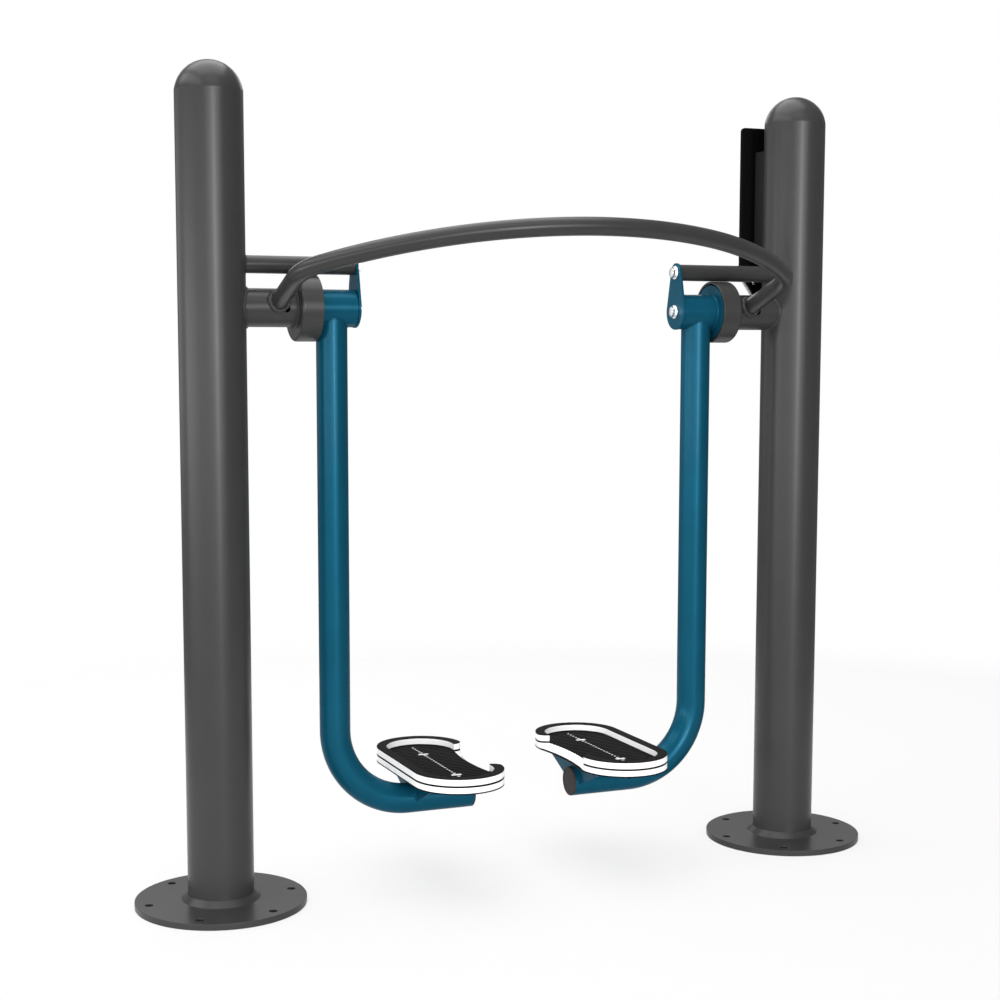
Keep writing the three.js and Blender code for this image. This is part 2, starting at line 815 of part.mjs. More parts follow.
addPair('post_tube', postTube(), greyPaint);
addPair('post_dome', postDome(), greyPaint);
addPair('base_flange', baseFlange(), greyPaint);
addPair('stub_arm', stubArm(), greyPaint);
addPair('stop_drum', stopDrum(), greyPaint);
addPair('rear_bumper', bumper(true), stopRubber);
addPair('front_bumper', bumper(false), stopRubber);
addPair('axle_shaft', axleShaft(), groundSteel);
addPair('support_tube', supportTube(), greyPaint);
addPair('link_plate', linkPlate(), bluePaint);
addPair('axle_bolt', hexBolt(axleHeight), brightSteel);
addPair('axle_washer', washer(axleHeight), brightSteel);
addPair('support_bolt', hexBolt(supportHeight), brightSteel);
addPair('support_washer', washer(supportHeight), brightSteel);

addPair('hub_sleeve', hubSleeve(), bluePaint);
addPair('inner_bearing', bearing(sleeveInner + bearingRecess), groundSteel);
addPair('outer_bearing', bearing(sleeveOuter - bearingRecess - bearingWidth), groundSteel);
addPair('stop_disc', stopDisc(), bluePaint);
addPair('leg_tube', legTube(), bluePaint);
addPair('leg_plug', legPlug(), plugPlastic);
addPair('inner_saddle', saddlePlate(saddleInner), bluePaint);
addPair('outer_saddle', saddlePlate(saddleOuter), bluePaint);
addPair('pedal_carrier', pedalCarrier(), bluePaint);
addPair('pedal_base', pedalBase(), boardPlastic);
addPair('pedal_rim', pedalRim(), boardPlastic);
addPair('front_pedal_screw', pedalScrew(screwPlaces[0]), brightSteel);
addPair('rear_pedal_screw', pedalScrew(screwPlaces[1]), brightSteel);

add('handlebar', handlebar(), greyPaint);
add('board_bracket', boardBracket(), greyPaint);
add('board_back_plate', backPlate(), blackSheet);
add('board_front_panel', frontPanel(), paleSheet);
add('board_left_screw', fixing(fixingPlaces[0], 0).translate(postX, 0, 0), brightSteel);
add('board_right_screw', fixing(fixingPlaces[1], 0).translate(postX, 0, 0), brightSteel);

export default part;
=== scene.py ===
import math

import bmesh
import bpy
import numpy as np
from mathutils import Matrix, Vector


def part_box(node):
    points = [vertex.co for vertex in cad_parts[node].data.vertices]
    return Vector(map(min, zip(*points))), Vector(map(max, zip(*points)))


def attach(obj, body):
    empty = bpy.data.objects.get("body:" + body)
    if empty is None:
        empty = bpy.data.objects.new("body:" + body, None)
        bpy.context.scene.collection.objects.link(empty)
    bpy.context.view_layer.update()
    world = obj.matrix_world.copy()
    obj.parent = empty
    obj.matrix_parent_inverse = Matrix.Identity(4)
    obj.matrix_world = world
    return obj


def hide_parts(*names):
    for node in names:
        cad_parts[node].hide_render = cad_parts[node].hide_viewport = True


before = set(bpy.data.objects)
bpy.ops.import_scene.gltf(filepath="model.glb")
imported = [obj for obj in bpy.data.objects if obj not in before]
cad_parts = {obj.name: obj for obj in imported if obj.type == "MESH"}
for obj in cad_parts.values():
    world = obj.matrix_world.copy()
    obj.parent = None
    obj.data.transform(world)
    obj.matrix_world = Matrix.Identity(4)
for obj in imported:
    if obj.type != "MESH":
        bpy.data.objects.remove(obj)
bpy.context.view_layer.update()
print("frame loaded,", len(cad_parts), "CAD nodes")

# lines that many pieces share, in metres; x runs out from the middle
postLow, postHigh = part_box("right_post_tube")
postX, midY = (postLow.x + postHigh.x) / 2, (postLow.y + postHigh.y) / 2
axleZ, supportZ, legX, runZ = 1.143, 1.22365, 0.3973, 0.1702
sleeveInner, sleeveOuter, drumOuter = 0.3535, 0.43, 0.4725
linkInner, linkOuter = 0.348, 0.353
pedalX, boardY, boardZ, rimZ, topZ = 0.18, midY - 0.0018, 0.218, 0.2335, 0.249
bothSides = {"right": 1, "left": -1}


# angles of a full turn in even steps
def fullTurn(count):
    return np.arange(count) * 2 * np.pi / count


# vectors over their own lengths
def unit(vectors):
    return vectors / np.maximum(np.linalg.norm(vectors, axis=-1, keepdims=True), 1e-12)


# points at a radius from a centre, in even steps from one angle to another
def arcPoints(centre, radius, start, end, steps):
    a = np.linspace(start, end, steps + 1)
    return np.stack([centre[0] + radius * np.cos(a), centre[1] + radius * np.sin(a)], 1)


# points from three coordinates, each a number or an array
def pointGrid(x, y, z):
    return np.stack(np.broadcast_arrays(x, y, z), -1)


# points at a radius from a line along X at height z, one for each angle
def ringPoints(x, radius, z, a):
    return pointGrid(x, midY + radius * np.cos(a), z + radius * np.sin(a))


# points of a grid joined in fours; rows are closed rings, and loop joins the last row to the first
def patch(points, loop=False):
    rows, columns = points.shape[:2]
    index = np.arange(rows * columns).reshape(rows, columns)
    if loop:
        index = np.vstack([index, index[:1]])
    index = np.hstack([index, index[:, :1]])
    corners = [index[:-1, :-1], index[1:, :-1], index[1:, 1:], index[:-1, 1:]]
    return points.reshape(-1, 3), np.stack(corners, -1).reshape(-1, 4).tolist()


# each corner of an outline becomes an arc: its centre lies on the bisector, and the points between the two
# tangent points are the two radii mixed by sines; a point just outside each tangent point keeps the flats flat
def roundCorners(corners, radii, steps=4, closed=True, hold=0.0002):
    p = np.asarray(corners, float)
    r = np.ones(len(p)) * radii
    if not closed:
        r[[0, -1]] = 0
    u, v = unit(np.roll(p, 1, 0) - p), unit(np.roll(p, -1, 0) - p)
    half = np.maximum(np.arccos(np.clip((u * v).sum(1), -1, 1)) / 2, 1e-6)
    reach = (r / np.tan(half))[:, None]
    centre = p + unit(u + v) * (r / np.sin(half))[:, None]
    start, end = p + u * reach, p + v * reach
    turn = np.maximum(np.pi - 2 * half, 1e-6)[:, None, None]
    t = np.linspace(0, 1, steps + 1)[None, :, None]
    mixed = np.sin((1 - t) * turn) * (start - centre)[:, None] + np.sin(t * turn) * (end - centre)[:, None]
    arc = centre[:, None] + mixed / np.sin(turn)
    rows = np.concatenate([(start + u * hold)[:, None], arc, (end + v * hold)[:, None]], 1)
    rows = np.where((r > 0)[:, None, None], rows, p[:, None]).reshape(-1, 2)
    fresh = np.append(True, np.abs(np.diff(rows, axis=0)).max(1) > 1e-7)
    return rows[fresh]


# a profile of (radius, along) turned about an axis: centre + along * axis + radius * (cos a, sin a) across it
def turned(profile, centre, sides, closed=False, axis="x"):
    r, s = np.asarray(profile, float).T
    a = fullTurn(sides)
    across, up = np.outer(r, np.cos(a)), np.outer(r, np.sin(a))
    along = np.repeat(s[:, None], sides, 1)
    points = np.roll(np.stack([along, across, up], -1), "xyz".index(axis), -1)
    return patch(points + centre, closed)


# a ring section turned about a line along X, with its four edges rounded
def turnedRing(inner, outer, start, end, z, edge, sides):
    corners = [(inner, start), (outer, start), (outer, end), (inner, end)]
    return turned(roundCorners(corners, edge, 3), (0, midY, z), sides, True)


# rings of a round tube on a path: place + radius * (cos a * outward + sin a * across), where across is the heading
# crossed with the outward direction
def tubeRings(path, headings, outward, radius, sides):
    a = fullTurn(sides)
    outward = unit(np.broadcast_to(outward, path.shape))
    across = np.cross(unit(headings), outward)
    ring = np.cos(a)[:, None] * outward[:, None] + np.sin(a)[:, None] * across[:, None]
    return path[:, None] + np.reshape(radius, (-1, 1, 1)) * ring


# an outer and an inner wall joined at both ends
def hollow(outer, inner):
    return patch(np.concatenate([outer, inner[::-1]]), True)


# a straight tube along X that ends on the post's surface, at postX - sqrt(postRadius^2 - y^2); rows close to its
# ends keep the wall's shading flat
def copedRings(radius, start, z, sides):
    a = fullTurn(sides)
    y, h = radius * np.cos(a), radius * np.sin(a)
    end = postX - np.sqrt(post["radius"] ** 2 - y**2)
    shares = np.array([0, 0.004, 0.5, 0.985, 1])[:, None]
    x = start + shares * (end - start)[None]
    return pointGrid(x, midY + y, z + h)


# a weld bead: a thin tube on a line, its radius falling and jumping back like overlapping scales
def bead(line, outward, radius, ripple, closed=True, sides=10, scale=0.004):
    heading = np.roll(line, -1, 0) - np.roll(line, 1, 0) if closed else np.gradient(line, axis=0)
    gaps = np.linalg.norm(np.roll(line, -1, 0) - line, axis=1)
    if not closed:
        gaps[-1] = 0
    whole = gaps.sum()
    t = np.append(0, np.cumsum(gaps)[:-1]) / whole
    phase = t * max(1, round(whole / scale)) % 1
    r = radius * (1 - ripple * phase**2 + 0.35 * ripple * np.sin(t * 6 * np.pi))
    if not closed:
        r = r * np.sqrt(np.clip(1 - (2 * t - 1) ** 8, 0, 1))
    return patch(tubeRings(line, heading, outward, r, sides), closed)


# a bead round a tube along X where it meets a flat face; lean is -1 or 1 for the face's side
def ringBead(x, lean, radius, z, a, size, ripple, closed=True):
    return bead(ringPoints(x, radius, z, a), pointGrid(lean, np.cos(a), np.sin(a)), size, ripple, closed)


# the line where a round tube ends on a bigger one, and the mean of their normals there: with level = small * cos a
# and out = small * sin a the line runs sqrt(big^2 - level^2) ahead of the bigger tube's axis
def meetingLine(centre, ahead, level, out, small, big, a):
    cos, sin = np.cos(a), np.sin(a)
    onBig = np.outer(np.sqrt(big**2 - (small * cos) ** 2), ahead) + np.outer(small * cos, level)
    line = centre + onBig + np.outer(small * sin, out)
    return line, np.outer(cos, level) + np.outer(sin, out) + onBig / big


# a flat plate with rounded edges: at edge * (1 - sin q) from each face its outline is drawn in by edge * (1 - cos q)
def plate(outline, low, high, edge, axes=(0, 1, 2), steps=3):
    p = np.asarray(outline, float)
    if ((p * np.roll(p[:, ::-1], -1, 0)) @ [1, -1]).sum() < 0:
        p = p[::-1]
    step = unit(np.roll(p, -1, 0) - p)
    normal = np.stack([step[:, 1], -step[:, 0]], 1)
    before = np.roll(normal, 1, 0)
    mitre = (normal + before) / (1 + (normal * before).sum(1))[:, None]
    q = np.linspace(0, np.pi / 2, steps + 1)
    inset, sink = edge * (1 - np.cos(q)), edge * (1 - np.sin(q))
    inset = np.concatenate([[edge + 0.0002], inset[::-1], inset, [edge + 0.0002]])
    heights = np.concatenate([[low], (low + sink)[::-1], high - sink, [high]])
    flat = p[None] - inset[:, None, None] * mitre[None]
    return closedEnds(pointGrid(flat[..., 0], flat[..., 1], heights[:, None])[..., np.argsort(axes)])


# a grid of closed rings with its first and last ring filled flat
def closedEnds(points):
    verts, faces = patch(points)
    count = points.shape[1]
    last = len(verts) - count
    return verts, faces + [list(range(count))[::-1], list(range(last, last + count))]


# an object of this name in the scene
def placed(name, data):
    thing = bpy.data.objects.new(name, data)
    bpy.context.scene.collection.objects.link(thing)
    return thing


# all patches as one mesh, merged where they meet and with every shell facing out
def joinPatches(name, patches, mirror=1):
    verts = np.concatenate([v for v, _ in patches]) * [mirror, 1, 1]
    starts = np.cumsum([0] + [len(v) for v, _ in patches[:-1]])
    faces = [[i + int(start) for i in face] for start, (_, group) in zip(starts, patches) for face in group]
    mesh = bpy.data.meshes.new(name)
    mesh.from_pydata(verts.tolist(), [], faces)
    shell = bmesh.new()
    shell.from_mesh(mesh)
    bmesh.ops.remove_doubles(shell, verts=shell.verts, dist=2e-6)
    bmesh.ops.dissolve_degenerate(shell, edges=shell.edges, dist=1e-7)
    bmesh.ops.recalc_face_normals(shell, faces=shell.faces)
    shell.to_mesh(mesh)
    shell.free()
    return mesh


# a finished piece on its body; a side mirrors it and goes in front of its, its leg's and its nodes' names
def addPiece(side, name, patches, material, nodes=(), body="frame", sharp=32):
    if side:
        name, nodes = f"{side}_{name}", [f"{side}_{node}" for node in nodes]
        body = f"{side}_leg" if body == "leg" else body
    mesh = joinPatches(name, patches, bothSides.get(side, 1))
    mesh.shade_smooth()
    mesh.set_sharp_from_angle(angle=math.radians(sharp))
    piece = placed(name, mesh)
    mesh.materials.append(material)
    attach(piece, body)
    if nodes:
        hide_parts(*nodes)
    return piece


# takes the cutter's volume out of a piece and keeps the result as plain mesh
def cutAway(piece, patches):
    cutter = placed("cutter", joinPatches("cutter", patches))
    work = piece.modifiers.new("cut", "BOOLEAN")
    work.object, work.operation, work.solver = cutter, "DIFFERENCE", "EXACT"
    bpy.context.view_layer.update()
    made = bpy.data.meshes.new_from_object(piece.evaluated_get(bpy.context.evaluated_depsgraph_get()))
    piece.modifiers.remove(work)
    old, piece.data = piece.data, made
    made.name = piece.name
    bpy.data.meshes.remove(old)
    bpy.data.objects.remove(cutter)
    made.shade_smooth()
    made.set_sharp_from_angle(angle=math.radians(32))


# each input of a node takes a socket to link or a fixed value
def setInputs(node, inputs):
    for key, value in inputs.items():
        if isinstance(value, bpy.types.NodeSocket):
            node.id_data.links.new(value, node.inputs[key])
        else:
            node.inputs[key].default_value = value


def addNode(tree, kind, inputs, operation=None):
    node = tree.nodes.new(kind)
    if operation:
        node.operation = operation
    setInputs(node, inputs)
    return node


# a fresh material with its tree and shader; patterns read Object coordinates
def newMaterial(name):
    material = bpy.data.materials.new(name)
    material.use_nodes = True
    tree = material.node_tree
    coords = addNode(tree, "ShaderNodeTexCoord", {}).outputs["Object"]
    return material, tree, tree.nodes["Principled BSDF"], coords


def noise(tree, coords, scale, detail=3.0):
    return addNode(tree, "ShaderNodeTexNoise", {"Vector": coords, "Scale": scale, "Detail": detail}).outputs["Fac"]


def ramp(tree, source, stops):
    node = addNode(tree, "ShaderNodeValToRGB", {"Fac": source})
    while len(node.color_ramp.elements) < len(stops):
        node.color_ramp.elements.new(0.5)
    for element, (place, colour) in zip(node.color_ramp.elements, stops):
        element.position, element.color = place, (*colour, 1)
    return node


# a noise moves an input of the shader between a share less and a share more than its middle colour or grey
def vary(tree, source, shader, key, middle, share, places=(0.3, 0.7)):
    stops = [(place, np.ones(3) * middle * k) for place, k in zip(places, (1 - share, 1 + share))]
    setInputs(shader, {key: ramp(tree, source, stops).outputs["Color"]})


def bump(tree, heights, shader, strength, distance):
    node = addNode(tree, "ShaderNodeBump", {"Strength": strength, "Distance": distance, "Height": heights})
    setInputs(shader, {"Normal": node.outputs["Normal"]})


# paint, steel, plastic and rubber: a fine grain, on steel stretched to streaks, drives the roughness and a slight
# bump; the colour follows the grain, or on paint a drift over some centimetres
def surface(name, family, **own):
    look = {**family, **own}
    material, tree, shader, coords = newMaterial(name)
    if "stretch" in look:
        coords = addNode(tree, "ShaderNodeMapping", {"Vector": coords, "Scale": look["stretch"]}).outputs["Vector"]
    grain = noise(tree, coords, look["scale"], look["detail"])
    if "driftScale" in look:
        drift = noise(tree, coords, look["driftScale"], 2.0)
        vary(tree, drift, shader, "Base Color", look["colour"], look["drift"], (0.35, 0.65))
    else:
        vary(tree, grain, shader, "Base Color", look["colour"], look["drift"])
    vary(tree, grain, shader, "Roughness", look["roughness"], look["roughDrift"])
    bump(tree, grain, shader, look["bump"], look["depth"])
    setInputs(shader, {
        "Metallic": look["metallic"], "Specular IOR Level": look["specular"], "Coat Weight": look["coat"],
        "Coat Roughness": 0.1,
    })
    return material


paint = {"drift": 0.03, "driftScale": 14, "scale": 500, "detail": 3.0, "roughDrift": 0.06, "bump": 0.03,
         "depth": 0.0004, "metallic": 0.0, "coat": 0.0}
steel = {"drift": 0.06, "detail": 4.0, "roughDrift": 0.3, "bump": 0.08, "depth": 0.0002, "metallic": 1.0,
         "specular": 0.5, "coat": 0.0}
moulded = {"detail": 3.0, "roughDrift": 0.1, "depth": 0.0004, "metallic": 0.0, "specular": 0.4, "coat": 0.0}
greyPaint = surface("grey powder coat", paint, colour=0.0335, roughness=0.3, specular=0.22)
# the bracket's coat: a dark grey, set darker than the grey paint as painted shade for the shadow behind the board
bracketShadePaint = surface("dark grey coat with painted shade", paint, colour=0.014, roughness=0.34, specular=0.14)
bluePaint = surface("blue powder coat", paint, colour=(0.004, 0.066, 0.112), drift=0.04, bump=0.02,
                    roughness=0.33, metallic=0.3, specular=0.035, coat=0.04)
brightSteel = surface("zinc plated steel", steel, colour=(0.78, 0.79, 0.8), roughness=0.22, scale=260,
                      stretch=(1, 1, 1))
groundSteel = surface("ground steel", steel, colour=(0.46, 0.47, 0.49), roughness=0.28, scale=420,
                      stretch=(6, 1, 1))
stopRubber = surface("stop rubber", moulded, colour=(0.012, 0.012, 0.013), drift=0.2, scale=500, roughness=0.8,
                     bump=0.3)
plugPlastic = surface("plug plastic", moulded, colour=(0.034, 0.03, 0.029), drift=0.12, scale=600,
                      roughness=0.55, bump=0.2, specular=0.1)
blackSheet = surface("black board sheet", moulded, colour=(0.002, 0.002, 0.0021), drift=0.1, scale=350,
                     roughness=0.55, bump=0.05, specular=0.04)
paleSheet = surface("pale board sheet", moulded, colour=(0.6, 0.61, 0.61), drift=0.03, scale=350,
                    roughness=0.45, bump=0.05)
whiteInlay = surface("white inlay", moulded, colour=0.86, drift=0.02, scale=500, roughness=0.5, bump=0.1)


# board of three layers: height above the ground picks the black skins or the white core, with a fine grain
def layered(name, low, high, bottomSkin, topSkin):
    material, tree, shader, coords = newMaterial(name)
    margin, whole = skins["margin"], high - low + 2 * skins["margin"]
    split = addNode(tree, "ShaderNodeSeparateXYZ", {"Vector": coords}).outputs["Z"]
    share = addNode(tree, "ShaderNodeMapRange", {
        "Value": split, "From Min": low - margin, "From Max": high + margin,
    }).outputs["Result"]
    stops = [(0, skins["skin"]), ((margin + bottomSkin) / whole, skins["core"]),
             (1 - (margin + topSkin) / whole, skins["skin"])]
    layers = ramp(tree, share, stops)
    layers.color_ramp.interpolation = "CONSTANT"
    grain = noise(tree, coords, skins["scale"])
    mix = tree.nodes.new("ShaderNodeMix")
    mix.data_type, mix.blend_type = "RGBA", "MULTIPLY"
    shade = ramp(tree, grain, [(0.3, [0.93] * 3), (0.7, [1.0] * 3)])
    setInputs(mix, {"Factor": 1.0, "A": layers.outputs["Color"], "B": shade.outputs["Color"]})
    vary(tree, grain, shader, "Roughness", skins["roughness"], 0.07)
    bump(tree, grain, shader, 0.15, 0.0003)
    setInputs(shader, {"Base Color": mix.outputs["Result"], "Specular IOR Level": skins["specular"]})
    return material


skins = {"skin": (0.005, 0.005, 0.005), "core": (0.95, 0.95, 0.95), "margin": 0.001, "scale": 500,
         "roughness": 0.6, "specular": 0.04}
baseBoard = layered("base board layers", boardZ, rimZ, 0.0027, 0.002)
rimBoard = layered("rim board layers", rimZ, topZ, 0.002, 0.0017)
print("finishes ready")


post = {"radius": 0.0635, "wall": 0.004, "foot": 0.012, "top": 1.595, "capRadius": 0.0639, "capBase": 1.5382,
        "crease": 0.15, "domeSteps": 40, "sides": 128}
foot = {
    "radius": 0.165, "thickness": 0.012, "seat": 0.0638, "collar": 0.012, "edge": 0.0011, "neckEdge": 0.0008,
    "lowEdge": 0.0004, "holeRadius": 0.008, "circle": 0.14, "holes": 6, "holeChamfer": 0.0007, "drillOver": 0.002,
    "holeShift": 0.00004, "sides": 160, "holeSides": 40,
}


# a straight tube with a cap that is part of a slightly larger ball, so that their meeting line shows
def postShell(side):
    r, wall, ball, low, seam = (post[key] for key in ("radius", "wall", "capRadius", "foot", "capBase"))
    middle = post["top"] - ball
    a = np.linspace(math.asin((seam - middle) / ball), np.pi / 2, post["domeSteps"] + 1)
    outside = np.stack([ball * np.cos(a), middle + ball * np.sin(a)], 1)
    inside = np.stack([(ball - wall) * np.cos(a), middle + (ball - wall) * np.sin(a)], 1)[::-1]
    outside[-1, 0] = inside[0, 0] = 0
    straight = [(r - wall, low), (r, low), (r, low + 0.0004), (r, seam - 0.0006), (r, seam - 0.0002)]
    crease = outside[:1] + (outside[1:2] - outside[:1]) * post["crease"]  # keeps the shading close to the seam
    profile = np.concatenate([straight, outside[:1], crease, outside[1:], inside])
    shell = turned(profile, (postX, midY, 0), post["sides"], True, "z")
    addPiece(side, "post_shell", [shell], greyPaint, ["post_tube", "post_dome"])


# a disc with a cone up to the post; the chamfered anchor holes are a trace off the middle line, so that none of
# their points lies on the disc's edges
def footFlange(side):
    seat, t, edge, over = foot["seat"], foot["thickness"], foot["neckEdge"], foot["drillOver"]
    corners = [
        (0, 0), (foot["radius"], 0), (foot["radius"], t), (seat + foot["collar"], t),
        (seat, t + foot["collar"]), (seat, t), (0, t),
    ]
    profile = roundCorners(corners, [0, foot["lowEdge"], foot["edge"], edge, edge * 0.4, 0, 0], closed=False)
    disc = turned(profile, (postX, midY, 0), foot["sides"], axis="z")
    piece = addPiece(side, "foot_flange", [disc], greyPaint, ["base_flange"])
    r, c = foot["holeRadius"], foot["holeChamfer"]
    drill = [(0, -over), (r, -over), (r, t - c), (r + c + over, t + over), (0, t + over)]
    middle = (postX, midY + foot["holeShift"])
    places = arcPoints(middle, foot["circle"], 0, 2 * np.pi, foot["holes"])[:-1]
    mirror, sides = bothSides[side], foot["holeSides"]
    cutAway(piece, [turned(drill, (mirror * x, y, 0), sides, axis="z") for x, y in places])


for side in bothSides:
    postShell(side)
    footFlange(side)
print("posts and feet built")


stub = {"radius": 0.0365, "wall": 0.004, "weld": 0.0038, "drumWeld": 0.0034, "ripple": 0.08, "sides": 72,
        "weldSteps": 420}
support = {"radius": 0.01685, "wall": 0.0032, "weld": 0.0021, "plug": 0.02, "tap": 0.0063, "ripple": 0.08,
           "sides": 56, "weldSteps": 260}


# a bead where a level tube along X meets the post
def saddleBead(size, z):
    line, outward = meetingLine((postX, midY, z), (-1, 0, 0), (0, 1, 0), (0, 0, 1), size["radius"],
                                post["radius"], fullTurn(size["weldSteps"]))
    return bead(line, outward, size["weld"], size["ripple"])


# an open tube from the drum to the post, with a weld at each end
def stubArm(side):
    z, start, r, sides = axleZ, drumOuter, stub["radius"], stub["sides"]
    tube = hollow(copedRings(r, start, z, sides), copedRings(r - stub["wall"], start, z, sides))
    addPiece(side, "stub_tube", [tube], greyPaint, ["stub_arm"])
    drumWeld = ringBead(start, 1, r, z, fullTurn(stub["weldSteps"]), stub["drumWeld"], stub["ripple"])
    addPiece(side, "stub_welds", [saddleBead(stub, z), drumWeld], greyPaint)


# a tube from the link plate to the post; its first stretch is solid, with a tapped hole for the bolt
def supportTube(side):
    z, start, r, sides = supportZ, linkOuter, support["radius"], support["sides"]
    outer = copedRings(r, start, z, sides)
    bore = copedRings(r - support["wall"], start + support["plug"], z, sides)
    tap = ringPoints(start, support["tap"], z, fullTurn(sides))[None]
    tapEnd = tap + [support["plug"], 0, 0]
    wall = patch(np.concatenate([outer, bore[::-1], tapEnd, tap]), True)
    addPiece(side, "support_rail", [wall], greyPaint, ["support_tube"])
    addPiece(side, "support_weld", [saddleBead(support, z)], greyPaint)


for side in bothSides:
    stubArm(side)
    supportTube(side)
print("arms and support tubes built")


drum = {
    "radius": 0.0635, "wall": 0.005, "back": 0.008, "bore": 0.0178, "backEdge": 0.005, "mouthEdge": 0.0012,
    "ribInner": 0.0408, "ribSpan": 9, "ribStart": 71.25, "ribGap": 0.008, "ribSink": 0.001, "ribEdge": 0.0004,
}
axle = {"radius": 0.0175, "tail": 0.008, "tap": 0.0063, "tapDepth": 0.024, "chamfer": 0.001}
axleCentre = (0, midY, axleZ)


# a block between two radii and two angles about the axle line, angles from straight down towards the back
def sectorBlock(inner, outer, start, low, high):
    a = np.radians(np.linspace(start, start + drum["ribSpan"], 9))
    arc = np.stack([np.sin(a), -np.cos(a)], 1)
    outline = np.concatenate([outer * arc, inner * arc[::-1]]) + axleCentre[1:]
    return plate(outline, low, high, drum["ribEdge"], (1, 2, 0))


# a cup turned about the axle line, open towards the leg, with two ribs that carry the bumpers
def stopDrum(side):
    r, wall, mouth, back = drum["radius"], drum["wall"], sleeveOuter, drumOuter
    floorX = back - drum["back"]
    corners = [(drum["bore"], back), (drum["bore"], floorX), (r - wall, floorX), (r - wall, mouth), (r, mouth),
               (r, back)]
    radii = [0.0003, 0.0003, 0.0015, 0.0006, drum["mouthEdge"], drum["backEdge"]]
    cup = turned(roundCorners(corners, radii, 8), axleCentre, 128, True)
    ribs = [sectorBlock(drum["ribInner"], r - wall / 2, start, mouth + drum["ribGap"], floorX + drum["ribSink"])
            for start in (drum["ribStart"], -drum["ribStart"] - drum["ribSpan"])]
    addPiece(side, "drum_cup", [cup, *ribs], greyPaint, ["stop_drum"])


# a turned bar with chamfered ends and a tapped hole towards the middle
def axleBar(side):
    r, c, start, end = axle["radius"], axle["chamfer"], linkOuter, drumOuter + axle["tail"]
    tapEnd = start + axle["tapDepth"]
    profile = [
        (0, tapEnd), (axle["tap"], tapEnd), (axle["tap"], start), (r - c, start), (r, start + c),
        (r, end - c), (r - c, end), (0, end),
    ]
    addPiece(side, "axle_bar", [turned(profile, axleCentre, 64)], groundSteel, ["axle_shaft"])


for side in bothSides:
    stopDrum(side)
    axleBar(side)
print("drums and axles built")


link = {"footRadius": 0.037, "headRadius": 0.0195, "edge": 0.0007}
bolt = {
    "flats": 0.019, "height": 0.0075, "radius": 0.006, "grip": 0.018, "faceRadius": 0.0089, "faceAngle": 30,
    "point": 0.001, "washerRadius": 0.014, "washerThickness": 0.0025, "washerPlay": 0.0003, "washerEdge": 0.0005,
}


# a strap with an arc about the axle and a smaller one about the support tube, joined by their common tangents
def linkPlate(side):
    rise = supportZ - axleZ
    lean = math.asin((link["footRadius"] - link["headRadius"]) / rise)
    low = arcPoints((midY, axleZ), link["footRadius"], math.pi - lean, 2 * math.pi + lean, 72)
    high = arcPoints((midY, supportZ), link["headRadius"], lean, math.pi - lean, 48)
    strap = plate(np.concatenate([low, high]), linkInner, linkOuter, link["edge"], (1, 2, 0))
    addPiece(side, "link_strap", [strap], bluePaint, ["link_plate"])


# a hexagon's radius at each angle: half its width over the cosine of the angle from the nearest flat
def hexRadius(flats, a):
    near = (a + np.pi / 6) % (np.pi / 3) - np.pi / 6
    return flats / 2 / np.cos(near)


# rows of (radius, along), each a number or one value per angle, as two grids
def profileRows(rows, a):
    return [np.stack([0 * a + row[i] for row in rows]) for i in (0, 1)]


# a hexagon head: a cone takes the corners off its face, so that the rim drops with the radius
def hexHead(z, base):
    a = fullTurn(72)
    radius, face, top = hexRadius(bolt["flats"], a), bolt["faceRadius"], base - bolt["height"]
    drop = np.maximum(0, radius - face) * math.tan(math.radians(bolt["faceAngle"]))
    drop = drop - drop.min()
    radii, along = profileRows([
        (0, base), (radius - 0.0004, base), (radius, base - 0.0003), (radius, top + drop + 0.0005),
        (radius - 0.0002, top + drop + 0.0003), (face, top + 0.0001), (face * 0.93, top), (0, top),
    ], a)
    return patch(ringPoints(along, radii, z, a))


def boltSet(side, name, z):
    r, base, end = bolt["radius"], linkInner - bolt["washerThickness"], linkOuter + bolt["grip"]
    profile = [(0, base), (r, base), (r, end - bolt["point"]), (r - bolt["point"], end), (0, end)]
    shank = turned(profile, (0, midY, z), 32)
    addPiece(side, f"{name}_hex_bolt", [hexHead(z, base), shank], brightSteel, [f"{name}_bolt"], sharp=24)
    ring = turnedRing(r + bolt["washerPlay"], bolt["washerRadius"], base, linkInner, z, bolt["washerEdge"], 72)
    addPiece(side, f"{name}_flat_washer", [ring], brightSteel, [f"{name}_washer"])


for side in bothSides:
    linkPlate(side)
    boltSet(side, "axle", axleZ)
    boltSet(side, "support", supportZ)
print("link plates and bolts built")


hub = {
    "radius": 0.036, "seat": 0.0313, "shoulder": 0.0293, "seatDepth": 0.016, "edge": 0.001,
    "bearingRadius": 0.031, "bearingBore": 0.0178, "bearingWidth": 0.014, "bearingRecess": 0.002,
    "race": 0.0035, "shieldSink": 0.0008, "discRadius": 0.0558, "discBore": 0.02, "discThickness": 0.006,
    "discEdge": 0.0008, "weld": 0.0034, "weldSteps": 420, "ripple": 0.05, "tongueWidth": 0.014, "tongueInner": 0.0408,
    "tongueLength": 0.024, "tongueRoot": 0.003, "tongueEdge": 0.0006,
}


# a turned tube with a seat for a bearing at each end
def hubSleeve(side):
    start, end, depth = sleeveInner, sleeveOuter, hub["seatDepth"]
    seat, shoulder = hub["seat"], hub["shoulder"]
    corners = [
        (seat, start), (hub["radius"], start), (hub["radius"], end), (seat, end), (seat, end - depth),
        (shoulder, end - depth), (shoulder, start + depth), (seat, start + depth),
    ]
    radii = [0.0004, hub["edge"], 0.0003, 0.0004, 0.0002, 0.0002, 0.0002, 0.0002]
    sleeve = turned(roundCorners(corners, radii), axleCentre, 96, True)
    addPiece(side, "hub_tube", [sleeve], bluePaint, ["hub_sleeve"], "leg")


